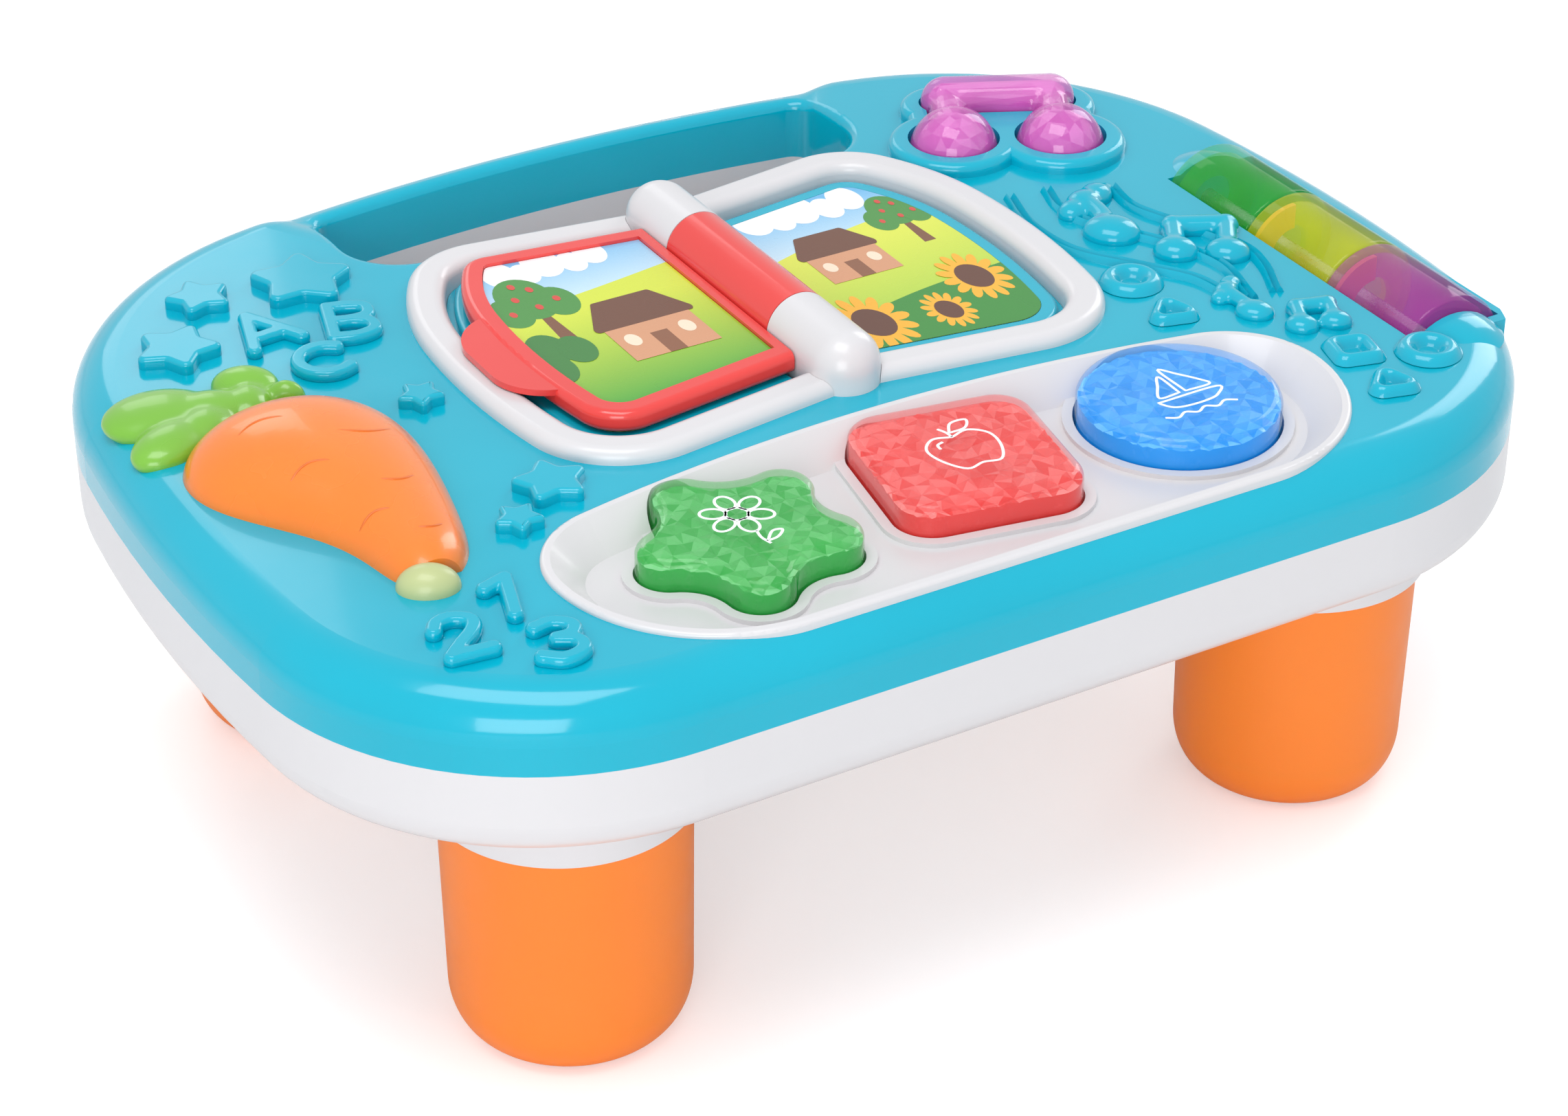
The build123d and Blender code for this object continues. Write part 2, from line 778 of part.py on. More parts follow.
# Book bezel: lipped ring with a rounded crest, an inner ledge for the bed and gaps for the spine caps
cap_front_middle = front_cap_start + spine_radius
cap_rear_middle = rear_cap_end - spine_radius
cap_plan = joined(
    bar((0, cap_front_middle), (0, sleeve_start), spine_radius),
    bar((0, sleeve_end), (0, cap_rear_middle), spine_radius),
)
recess_plan = book_outline(bezel_width)
with BuildPart() as bezel:
    prism(grown(book_plan, -lip_width), bezel_bottom, deck_height - lip_depth)
    prism(book_plan, deck_height - lip_depth, bezel_crest)
    prism(recess_plan, bezel_bottom + bezel_ledge_height, bezel_crest, Mode.SUBTRACT)
    fillet(bezel.faces().sort_by(Axis.Z)[-1].edges(), bezel_round)
    prism(grown(recess_plan, -bezel_ledge), bezel_bottom, deck_height, Mode.SUBTRACT)
    prism(grown(cap_plan, seat_gap), deck_height, bezel_crest, Mode.SUBTRACT)
save(bezel, "book_bezel")

# Bed with two raised pads, and a picture let into each
bed_bottom = bezel_bottom + bezel_ledge_height
pad_edge = spine_radius + 2 * page_spine_gap
pad_plan = left_of(book_outline(pad_inset), -pad_edge)
pocket_plan = left_of(book_outline(pad_inset + pad_rim), -pad_edge)
with BuildPart() as bed:
    prism(grown(recess_plan, -seat_gap), bed_bottom, bed_top)
    prism(joined(pad_plan, pad_plan.mirror(Plane.YZ)), bed_top, pad_top)
    fillet(bed.faces().sort_by(Axis.Z)[-2:].edges(), pad_round)
    pockets = joined(pocket_plan, pocket_plan.mirror(Plane.YZ))
    prism(pockets, pad_top - picture_depth, pad_top, Mode.SUBTRACT)
    axis_bar(0, spine_height, spine_radius + page_gap, sleeve_start, sleeve_end, Mode.SUBTRACT)
save(bed, "picture_bed")
picture_plan = grown(pocket_plan, -picture_gap)
for side, plan in (("left", picture_plan), ("right", picture_plan.mirror(Plane.YZ))):
    with BuildPart() as picture:
        prism(plan, pad_top - picture_depth, pad_top)
    save(picture, side + "_picture")

# Spine: two caps on the bezel hold the pin that the page turns on
for name, start, end, middle in (
    ("front", front_cap_start, sleeve_start, cap_front_middle),
    ("rear", rear_cap_end, sleeve_end, cap_rear_middle),
):
    half_plan = block((0, (middle + end) / 2), 2 * spine_radius, abs(end - middle))
    foot_plan = joined(disc((0, middle), spine_radius), half_plan)
    with BuildPart() as cap:
        axis_bar(0, spine_height, spine_radius, min(middle, end), max(middle, end))
        with Locations((0, middle, spine_height)):
            Sphere(spine_radius)
        split(bisect_by=Plane.XY.offset(spine_height), keep=Keep.TOP)
        prism(foot_plan, deck_height, spine_height)
        with BuildSketch(Plane.XY.offset(bed_top)) as tongue:
            add(grown(recess_plan, -seat_gap))
            add(foot_plan, mode=Mode.INTERSECT)
        extrude(tongue.sketch, amount=deck_height - bed_top)
        axis_bar(0, spine_height, pin_radius, end - pin_hold, end + pin_hold, Mode.SUBTRACT)
    save(cap, "spine_cap_" + name)
with BuildPart() as pin:
    axis_bar(0, spine_height, pin_radius, sleeve_start - pin_hold, sleeve_end + pin_hold)
save(pin, "page_pin")

# Page: beaded frame with a pull tab, sleeve on the pin, and a card on each side
page_edge = -(spine_radius + page_spine_gap)
page_plan = left_of(book_outline(page_inset), page_edge)
card_edge = page_edge - page_bead / 2
page_pocket_plan = left_of(book_outline(page_inset + page_bead), card_edge)
page_outer = -page_plan.bounding_box().size.X + page_edge
with BuildPart() as page:
    prism(page_plan, page_bottom, page_top)
    outer_edges = page.edges().filter_by_position(Axis.X, -table_width, page_edge, (True, False))
    rims = outer_edges.filter_by(lambda e: abs(e.center().Z - (page_top + page_bottom) / 2) > page_round)
    fillet(rims, page_round)
    prism(page_pocket_plan, page_top - page_pocket, page_top, Mode.SUBTRACT)
    prism(page_pocket_plan, page_bottom, page_bottom + page_pocket, Mode.SUBTRACT)
    tab_x = page_outer - tab_reach + tab_radius
    tab_plan = bar((tab_x, tab_place - tab_straight / 2), (tab_x, tab_place + tab_straight / 2), tab_radius)
    with BuildSketch(Plane.XY.offset(tab_bottom)) as tab:
        add(tab_plan)
        add(page_pocket_plan, mode=Mode.SUBTRACT)
    extrude(tab.sketch, amount=page_top - tab_drop - tab_bottom)
    axis_bar(0, spine_height, spine_radius, sleeve_start + page_gap, sleeve_end - page_gap)
    web_middle = ((page_edge + card_edge) / 2 + pin_radius, (sleeve_start + sleeve_end) / 2)
    web_length = sleeve_end - sleeve_start - 2 * page_gap
    web_plan = block(web_middle, page_edge - card_edge + pin_radius, web_length)
    prism(web_plan, page_bottom + page_round, page_top - page_round)
    axis_bar(0, spine_height, pin_radius + pin_gap, sleeve_start, sleeve_end, Mode.SUBTRACT)
save(page, "page_frame")
card_plan = grown(page_pocket_plan, -picture_gap)
with BuildPart() as cards:
    prism(card_plan, page_top - page_pocket, page_top - page_pocket + card_thickness)
    prism(card_plan, page_bottom + page_pocket - card_thickness, page_bottom + page_pocket)
save(cards, "page_cards")

# Button tray: rounded lip, dished floor and a raised ring round each button
with BuildPart() as tray:
    prism(tray_plan, tray_crest - 2 * tray_lip_depth, tray_crest)
    fillet(tray.faces().sort_by(Axis.Z)[-1].outer_wire().edges(), tray_lip_round)
    prism(grown(tray_plan, -tray_lip), tray_floor - tray_thickness, tray_crest - tray_lip_depth)
    with BuildSketch(Plane.XY.offset(tray_crest)) as mouth:
        add(grown(tray_plan, -tray_rim))
    with BuildSketch(Plane.XY.offset(tray_floor)) as base:
        add(grown(tray_plan, -tray_rim - tray_slope))
    loft([mouth.sketch, base.sketch], mode=Mode.SUBTRACT)
    for plan in button_plans.values():
        prism(grown(plan, ring_width), tray_floor, tray_floor + ring_height)
    for plan in button_plans.values():
        prism(grown(plan, button_gap), tray_floor - tray_thickness, tray_crest, Mode.SUBTRACT)
save(tray, "button_tray")

# Push buttons: a clear cap with a retaining flange, the light guide inside it and a rubber dome below
flange_top = tray_floor - tray_thickness - flange_gap
guide_top = button_top - button_wall
for name, plan in button_plans.items():
    place = button_places[name]
    with BuildPart() as button:
        prism(plan, flange_top - flange_height, button_top)
        fillet(button.faces().sort_by(Axis.Z)[-1].edges(), button_round)
        prism(grown(plan, flange_width), flange_top - flange_height, flange_top)
        prism(grown(plan, -button_wall), flange_top - flange_height, guide_top, Mode.SUBTRACT)
    save(button, name + "_button")
    with BuildPart() as guide:
        prism(grown(plan, -button_wall - seat_gap), guide_top - guide_plate, guide_top)
        prism(disc(place, guide_stem_radius), guide_bottom, guide_top - guide_plate)
    save(guide, name + "_light_guide")

note_flange_top = deck_height - shell_wall - flange_gap
with BuildPart() as note_button:
    prism(note_plan, note_flange_top - flange_height, ball_height)
    prism(grown(note_plan, flange_width), note_flange_top - flange_height, note_flange_top)
    for ball in (left_ball, right_ball):
        with Locations((ball[0], ball[1], ball_height)):
            Sphere(ball_radius)
    for start, end, radius, height in (
        (Vector(*left_ball), stem_ends[0], stem_radius, stem_height),
        (Vector(*right_ball), stem_ends[1], stem_radius, stem_height),
        (stem_ends[0], stem_ends[1], beam_radius, beam_height),
    ):
        prism(bar(tuple(start)[:2], tuple(end)[:2], radius), ball_height, height)
        rise = Vector(0, 0, height)
        way = end - start
        with Locations(Plane(origin=(start + end) / 2 + rise, z_dir=way)):
            Cylinder(radius, way.length)
        with Locations(start + rise, end + rise):
            Sphere(radius)
    inner_note = grown(note_plan, -button_wall)
    floor_cut = block(note_middle, table_width / 2, table_width / 2)
    prism(floor_cut, ball_height - 2 * ball_radius, note_flange_top - flange_height, Mode.SUBTRACT)
    prism(inner_note, note_flange_top - flange_height, note_hollow_top, Mode.SUBTRACT)
save(note_button, "note_button")
with BuildPart() as note_guide:
    prism(grown(note_plan, -button_wall - seat_gap), note_hollow_top - guide_plate, note_hollow_top)
    prism(disc(note_place, guide_stem_radius), guide_bottom, note_hollow_top - guide_plate)
save(note_guide, "note_light_guide")

button_places["note"] = note_place
for name, place in button_places.items():
    with BuildPart() as dome:
        prism(disc(place, dome_radius), board_top, board_top + dome_wall)
        with BuildSketch(Plane.XY.offset(board_top)):
            with Locations(place):
                Circle(dome_radius - dome_wall)
        extrude(amount=guide_bottom - board_top, taper=dome_radius)
    save(dome, name + "_dome")

# Boards and the lights that shine into the buttons
for name, (place, length, width) in boards.items():
    with BuildPart() as board:
        prism(block(place, length, width, board_corner), board_low, board_top)
    save(board, name)
with BuildPart() as lights:
    for place in button_places.values():
        for side in (-1, 1):
            light_plan = disc((place[0] + side * light_reach, place[1]), light_radius)
            prism(light_plan, board_top, board_top + light_height)
save(lights, "lights")

# Roller: three coloured drums on a tube, with half discs inside, on one axle
drum_length = (roller_rear - roller_front) / drum_count
seams = [roller_front + drum_length * step for step in range(drum_count + 1)]
hollow_radius = roller_radius - roller_wall
for name, low, high in zip(("front", "middle", "rear"), seams, seams[1:]):
    with BuildPart() as drum:
        axis_bar(roller_x, roller_z, roller_radius, low, high)
        axis_bar(roller_x, roller_z, hollow_radius, low + roller_wall, high - roller_wall, Mode.SUBTRACT)
        axis_bar(roller_x, roller_z, tube_radius, low, high)
        axis_bar(roller_x, roller_z, axle_radius, low, high, Mode.SUBTRACT)
    save(drum, "roller_" + name)
with BuildPart() as discs:
    for seam in seams[1:-1]:
        with BuildSketch(Plane.XZ.offset(-(seam - roller_wall))) as half:
            with Locations((roller_x, roller_z)):
                Circle(hollow_radius - seat_gap)
                Circle(tube_radius + seat_gap, mode=Mode.SUBTRACT)
            with Locations((roller_x - roller_radius / 2, roller_z)):
                Rectangle(roller_radius, 2 * roller_radius, mode=Mode.INTERSECT)
        extrude(half.sketch, amount=disc_thickness)
save(discs, "roller_discs")
with BuildPart() as axle:
    axis_bar(roller_x, roller_z, axle_radius, axle_low, trough_high + trough_end)
save(axle, "roller_axle")

# Carrot ornament laid on the deck
sections = []
for along, bend, half_width, rise in carrot_station_shares:
    centre = (carrot_x + bend * carrot_width, carrot_y - along * carrot_length, deck_height - carrot_sink)
    with BuildSketch(Plane(origin=centre, x_dir=(1, 0, 0), z_dir=(0, -1, 0))) as section:
        Ellipse(half_width * carrot_width / 2, rise * (carrot_rise + carrot_sink))
    sections.append(section.sketch)
with BuildPart() as carrot:
    loft(sections)
    prism(table_plan, deck_height, deck_height + overrun, Mode.INTERSECT)
save(carrot, "carrot_body")

tip_place = (
    carrot_x + carrot_station_shares[-1][1] * carrot_width, carrot_y - carrot_length - carrot_tip_radius / 2
)
with BuildPart() as tip:
    with Locations((tip_place[0], tip_place[1], deck_height)):
        Sphere(carrot_tip_radius)
    split(bisect_by=Plane.XY.offset(deck_height), keep=Keep.TOP)
    add(carrot.part, mode=Mode.SUBTRACT)
save(tip, "carrot_tip")
leaf_root = Vector(carrot_x, carrot_y - leaf_rise / 2)
with BuildPart() as leaves:
    for angle, share in leaf_shares:
        way = Vector(1, 0).rotate(Axis.Z, angle)
        reach = leaf_length * share
        middle = leaf_root + way * (reach / 2 + leaf_rise / 2)
        add(ellipsoid(middle, angle, reach / 2, leaf_width * share / 2, leaf_rise))
    prism(table_plan, seam_height, deck_height + overrun, Mode.INTERSECT)
    add(deck_form.part, mode=Mode.SUBTRACT)
    add(carrot.part, mode=Mode.SUBTRACT)
save(leaves, "carrot_leaves")

# Cells, contacts, door, speaker and switch
with BuildPart() as cells:
    for row in cell_rows:
        with BuildSketch(Plane.YZ.offset(cell_place[0] - cell_length / 2)) as base:
            with Locations((row, bay_low + cell_radius)):
                Circle(cell_radius)
        extrude(base.sketch, amount=cell_length)
save(cells, "batteries")
with BuildPart() as contacts:
    for row in cell_rows:
        for side in (-1, 1):
            place = (cell_place[0] + side * (cell_length + contact_thickness) / 2, row)
            plate = block(place, contact_thickness, contact_size)
            prism(plate, bay_low + cell_radius - contact_size / 2, bay_low + cell_radius + contact_size / 2)
save(contacts, "battery_contacts")
with BuildPart() as door:
    prism(grown(door_plan, -door_gap), shell_bottom, shell_bottom + door_thickness)
    prism(disc(door_screw_place, door_screw_radius + leg_gap), shell_bottom, bay_low, Mode.SUBTRACT)
save(door, "battery_door")
with BuildPart() as door_screw:
    prism(disc(door_screw_place, door_screw_radius), shell_bottom + seat_gap, bay_low + shell_wall)
save(door_screw, "door_screw")
with BuildPart() as speaker:
    prism(disc(speaker_place, speaker_radius), floor_top, floor_top + speaker_height)
    magnet_low = floor_top + speaker_height
    prism(disc(speaker_place, speaker_magnet_radius), magnet_low, magnet_low + speaker_magnet_height)
save(speaker, "speaker")
with BuildPart() as screws:
    head_low = shell_bottom + head_recess - head_height
    for place in bosses:
        prism(disc(place, head_radius), head_low, shell_bottom + head_recess)
        prism(disc(place, screw_radius), shell_bottom + head_recess, boss_split + screw_bite)
save(screws, "shell_screws")
with BuildPart() as knob:
    knob_plan = block(switch_place, switch_knob_length, switch_knob_width)
    prism(knob_plan, shell_bottom - switch_stand, floor_top + seat_gap)
    knob_seat = floor_top + seat_gap
    prism(grown(knob_plan, switch_flange), knob_seat, knob_seat + switch_flange_height)
save(knob, "switch_knob")
switch_low = floor_top + 2 * seat_gap + switch_flange_height
with BuildPart() as switch:
    switch_plan = block(slot_middle, switch_body_length, switch_body_width)
    prism(switch_plan, switch_low, switch_low + switch_body_height)
save(switch, "switch_body")
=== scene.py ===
"""Looks of a baby activity table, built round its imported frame."""

import logging
import math
from dataclasses import dataclass
from enum import Enum

import bmesh
import bpy
from mathutils import Matrix, Vector
from mathutils.bvhtree import BVHTree
from mathutils.geometry import tessellate_polygon


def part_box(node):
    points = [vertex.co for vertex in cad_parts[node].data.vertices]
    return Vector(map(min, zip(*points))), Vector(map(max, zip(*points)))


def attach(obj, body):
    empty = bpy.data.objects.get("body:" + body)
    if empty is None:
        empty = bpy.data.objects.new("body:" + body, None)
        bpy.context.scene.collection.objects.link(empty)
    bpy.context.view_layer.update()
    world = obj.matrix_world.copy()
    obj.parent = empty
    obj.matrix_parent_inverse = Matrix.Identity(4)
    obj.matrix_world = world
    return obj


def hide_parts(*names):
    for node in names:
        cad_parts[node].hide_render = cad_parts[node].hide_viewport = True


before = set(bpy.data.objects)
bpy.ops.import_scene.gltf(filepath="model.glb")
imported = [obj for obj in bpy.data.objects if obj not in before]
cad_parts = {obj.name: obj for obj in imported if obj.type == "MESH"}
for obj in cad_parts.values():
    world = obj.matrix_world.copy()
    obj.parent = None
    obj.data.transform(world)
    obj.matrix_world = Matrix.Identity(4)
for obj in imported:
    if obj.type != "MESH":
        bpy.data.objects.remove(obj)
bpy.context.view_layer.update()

LOG = logging.getLogger("activity_table")
MM = 0.001
SMOOTH_ANGLE = math.radians(38)

Point = tuple[float, float]
Loop = list[Point]
Mesh = bpy.types.Mesh
Socket = bpy.types.NodeSocket


class Body(Enum):
    """The bodies that this script's pieces ride on."""

    TABLE = "table"
    PAGE = "page"
    STAR = "star"
    SQUARE = "square"
    ROUND = "round"
    NOTE = "note"
    ROLLER = "roller"


def linear(code: str) -> tuple[float, float, float, float]:
    """Turn a screen colour into the linear one that shaders use.

    Args:
        code: Six hexadecimal digits, red, green and blue.

    Returns:
        Linear red, green, blue and an alpha of 1.
    """
    shares = [int(code[i : i + 2], 16) / 255 for i in (0, 2, 4)]
    return (*[((s + 0.055) / 1.055) ** 2.4 if s > 0.04045 else s / 12.92 for s in shares], 1.0)


def shaded(colour: tuple, factor: float) -> tuple[float, float, float, float]:
    """Make a linear colour lighter or darker.

    Args:
        colour: Linear red, green, blue and alpha.
        factor: What red, green and blue are multiplied by.

    Returns:
        The new colour, with each channel at most 1.
    """
    return (*[min(1.0, c * factor) for c in colour[:3]], 1.0)


class Nodes:
    """The emptied node tree of a material or a world, with short calls to add and join its nodes."""

    def __init__(self, owner: bpy.types.ID) -> None:
        """Empty the node tree.

        Args:
            owner: The material or world that has it.
        """
        self.owner = owner
        self.owner.use_nodes = True
        self.tree = owner.node_tree
        self.tree.nodes.clear()

    def add(self, kind: str, sockets: dict | None = None, **settings: object) -> bpy.types.Node:
        """Add a node.

        Args:
            kind: The node's type without its ShaderNode prefix.
            sockets: Values or source sockets for the inputs, by name or number.
            settings: The node's own settings.

        Returns:
            The node.
        """
        node = self.tree.nodes.new("ShaderNode" + kind)
        for key, value in settings.items():
            setattr(node, key, value)
        for key, value in (sockets or {}).items():
            if isinstance(value, Socket):
                self.tree.links.new(value, node.inputs[key])
            else:
                node.inputs[key].default_value = value
        return node

    def place(self) -> Socket:
        """Give the point on the object.

        Returns:
            The point, in metres.
        """
        return self.add("TexCoord").outputs["Object"]

    def noise(self, point: Socket, scale: float, detail: float = 2.0) -> Socket:
        """Add a noise texture.

        Args:
            point: Where it is read.
            scale: Its features to the metre.
            detail: Its octaves.

        Returns:
            The noise, mostly from 0.3 to 0.7.
        """
        return self.add("TexNoise", {"Vector": point, "Scale": scale, "Detail": detail}).outputs["Fac"]

    def spread(
        self, source: Socket, low: float = 0.0, high: float = 1.0, start: float = 0.3, end: float = 0.7
    ) -> Socket:
        """Map a value from one range to another.

        Args:
            source: The value.
            low: What its start becomes.
            high: What its end becomes.
            start: Where its own range starts.
            end: Where its own range ends.

        Returns:
            The mapped value.
        """
        sockets = {"Value": source, "From Min": start, "From Max": end, "To Min": low, "To Max": high}
        return self.add("MapRange", sockets).outputs["Result"]

    def operate(self, operation: str, *values: object) -> Socket:
        """Add a math node.

        Args:
            operation: What it does.
            values: Its inputs, as numbers or sockets.

        Returns:
            The result.
        """
        return self.add("Math", dict(enumerate(values)), operation=operation).outputs[0]

    def mix(self, share: Socket, a: object, b: object) -> Socket:
        """Mix two colours.

        Args:
            share: How much of the second there is.
            a: First colour or socket.
            b: Second colour or socket.

        Returns:
            The mixed colour.
        """
        return self.add("Mix", {0: share, 6: a, 7: b}, data_type="RGBA").outputs[2]

    def bump(self, height: Socket, distance: float, strength: float) -> Socket:
        """Add a bump.

        Args:
            height: The height, from 0 to 1.
            distance: What a height of 1 is, in metres.
            strength: How strong the bump is.

        Returns:
            The bumped normal.
        """
        sockets = {"Height": height, "Distance": distance, "Strength": strength}
        return self.add("Bump", sockets).outputs["Normal"]

    def close(self, shader: bpy.types.Node, output: str = "OutputMaterial") -> bpy.types.ID:
        """Join the last shader to the output.

        Args:
            shader: The last shader node.
            output: The output node's type without its ShaderNode prefix.

        Returns:
            The finished material or world.
        """
        end = self.add(output)
        self.tree.links.new(shader.outputs[0], end.inputs["Surface"])
        return self.owner


@dataclass(frozen=True)
class Finish:
    """What a surface is made of. Each kind of finish gives its own surface settings."""

    name: str
    colour: str

    def surface(self, nodes: Nodes) -> dict:
        """Give the inputs of the surface shader.

        Args:
            nodes: The material's nodes.

        Returns:
            Values or sockets by the inputs' names.
        """
        raise NotImplementedError

    def material(self) -> bpy.types.Material:
        """Give the material, built on its first use.

        Returns:
            The material.
        """
        ready = bpy.data.materials.get(self.name)
        if ready:
            return ready
        nodes = Nodes(bpy.data.materials.new(self.name))
        return nodes.close(nodes.add("BsdfPrincipled", self.surface(nodes)))


@dataclass(frozen=True)
class Moulded(Finish):
    """Moulded plastic with faint flow marks, a fine skin and a gloss that varies a little."""

    roughness: float = 0.25
    gloss_change: float = 0.05
    gloss_scale: float = 64.0
    flow_scale: float = 16.0
    flow: float = 0.05
    skin_scale: float = 1400.0
    skin: float = 0.000012
    skin_strength: float = 0.4
    coat: float = 0.25
    coat_roughness: float = 0.06
    subsurface: float = 0.0
    subsurface_depth: float = 0.004
    specular: float = 0.5

    def surface(self, nodes: Nodes) -> dict:
        """Give the inputs of the surface shader, as Finish says."""
        point = nodes.place()
        base = linear(self.colour)
        flow = nodes.spread(nodes.noise(point, self.flow_scale))
        low, high = self.roughness - self.gloss_change, self.roughness + self.gloss_change
        return {
            "Base Color": nodes.mix(flow, shaded(base, 1 - self.flow), shaded(base, 1 + self.flow)),
            "Roughness": nodes.spread(nodes.noise(point, self.gloss_scale), low, high),
            "Normal": nodes.bump(nodes.noise(point, self.skin_scale), self.skin, self.skin_strength),
            "Specular IOR Level": self.specular,
            "Coat Weight": self.coat,
            "Coat Roughness": self.coat_roughness,
            "Subsurface Weight": self.subsurface,
            "Subsurface Scale": self.subsurface_depth,
        }


@dataclass(frozen=True)
class Clear(Finish):
    """Tinted see-through plastic with a hard gloss, slightly uneven inside, and a faint painted glow in its
    own tint.
    """

    body: float = 0.4
    roughness: float = 0.05
    painted_glow: float = 0.05
    cloud_scale: float = 60.0
    cloud_tint: float = 0.08
    cloud_body: float = 0.05
    ripple_scale: float = 180.0
    ripple: float = 0.00003
    ripple_strength: float = 0.3
    coat: float = 0.8
    coat_roughness: float = 0.02

    def surface(self, nodes: Nodes) -> dict:
        """Give the inputs of the surface shader, as Finish says."""
        point = nodes.place()
        base = linear(self.colour)
        cloud = nodes.noise(point, self.cloud_scale)
        pale, deep = shaded(base, 1 - self.cloud_tint), shaded(base, 1 + self.cloud_tint)
        tone = nodes.mix(nodes.spread(cloud), pale, deep)
        low, high = (1 - self.cloud_body) * self.body, (1 + self.cloud_body) * self.body
        return {
            "Base Color": tone,
            "Roughness": self.roughness,
            "Normal": nodes.bump(nodes.noise(point, self.ripple_scale), self.ripple, self.ripple_strength),
            "Alpha": nodes.spread(cloud, low, high),
            "Coat Weight": self.coat,
            "Coat Roughness": self.coat_roughness,
            # Painted glow: the tint is also emitted, so the plastic looks lit from inside, though nothing in
            # it is a lamp.
            "Emission Color": tone,
            "Emission Strength": self.painted_glow,
        }


@dataclass(frozen=True)
class Faceted(Finish):
    """A prism plate with painted highlights: each upward facet is painted lighter by a tone taken from its
    own slant, and the plate has a painted glow.
    """

    painted_highlight_colour: str = "FFFFFF"
    beat: tuple[float, float, float] = (47.0, 71.0, 29.0)
    upward: tuple[float, float] = (0.3, 0.6)
    roughness: tuple[float, float] = (0.15, 0.3)
    skin_scale: float = 300.0
    coat: float = 0.5
    painted_glow: float = 0.12

    def surface(self, nodes: Nodes) -> dict:
        """Give the inputs of the surface shader, as Finish says."""
        # Painted highlight: a pseudo-random share from each facet's normal, kept only on facets that face up,
        # mixes the colour towards the highlight colour; steep sides keep the plain colour.
        slant = nodes.add("TexCoord").outputs["Normal"]
        phase = nodes.add("VectorMath", {0: slant, 1: self.beat}, operation="DOT_PRODUCT").outputs["Value"]
        share = nodes.spread(nodes.operate("SINE", phase), start=-1.0, end=1.0)
        rise = nodes.add("SeparateXYZ", {"Vector": slant}).outputs["Z"]
        level = nodes.spread(rise, start=self.upward[0], end=self.upward[1])
        painted_highlight_share = nodes.operate("MULTIPLY", share, level)
        tone = nodes.mix(painted_highlight_share, linear(self.colour), linear(self.painted_highlight_colour))
        return {
            "Base Color": tone,
            "Roughness": nodes.spread(nodes.noise(nodes.place(), self.skin_scale), *self.roughness),
            # Painted glow: the tone, painted highlights included, is also emitted.
            "Coat Weight": self.coat,
            "Emission Color": tone,
            "Emission Strength": self.painted_glow,
        }


@dataclass(frozen=True)
class Printed(Finish):
    """Printed ink under a thin gloss, which fades from one colour to another along the table's Y."""

    far_colour: str = ""
    near: float = 0.0
    far: float = 0.06
    dots: float = 0.03
    dot_scale: float = 2400.0
    roughness: tuple[float, float] = (0.24, 0.34)
    gloss_scale: float = 90.0
    coat: float = 0.3
    coat_roughness: float = 0.1

    def surface(self, nodes: Nodes) -> dict:
        """Give the inputs of the surface shader, as Finish says."""
        point = nodes.place()
        along = nodes.add("SeparateXYZ", {"Vector": point}).outputs["Y"]
        fade = nodes.spread(along, start=self.near, end=self.far)
        ink = nodes.mix(fade, linear(self.colour), linear(self.far_colour or self.colour))
        grain = nodes.spread(nodes.noise(point, self.dot_scale), 1 - self.dots, 1.0)
        return {
            "Base Color": nodes.add("HueSaturation", {"Color": ink, "Value": grain}).outputs["Color"],
            "Roughness": nodes.spread(nodes.noise(point, self.gloss_scale), *self.roughness),
            "Coat Weight": self.coat,
            "Coat Roughness": self.coat_roughness,
        }


@dataclass(frozen=True)
class Metal(Finish):
    """Plated steel with fine turning marks."""

    roughness: tuple[float, float] = (0.22, 0.38)
    mark_scale: float = 900.0
    mark_detail: float = 4.0
    mark: float = 0.00001
    mark_strength: float = 0.3

    def surface(self, nodes: Nodes) -> dict:
        """Give the inputs of the surface shader, as Finish says."""
        marks = nodes.noise(nodes.place(), self.mark_scale, self.mark_detail)
        return {
            "Base Color": linear(self.colour),
            "Metallic": 1.0,
            "Roughness": nodes.spread(marks, *self.roughness),
            "Normal": nodes.bump(marks, self.mark, self.mark_strength),
        }


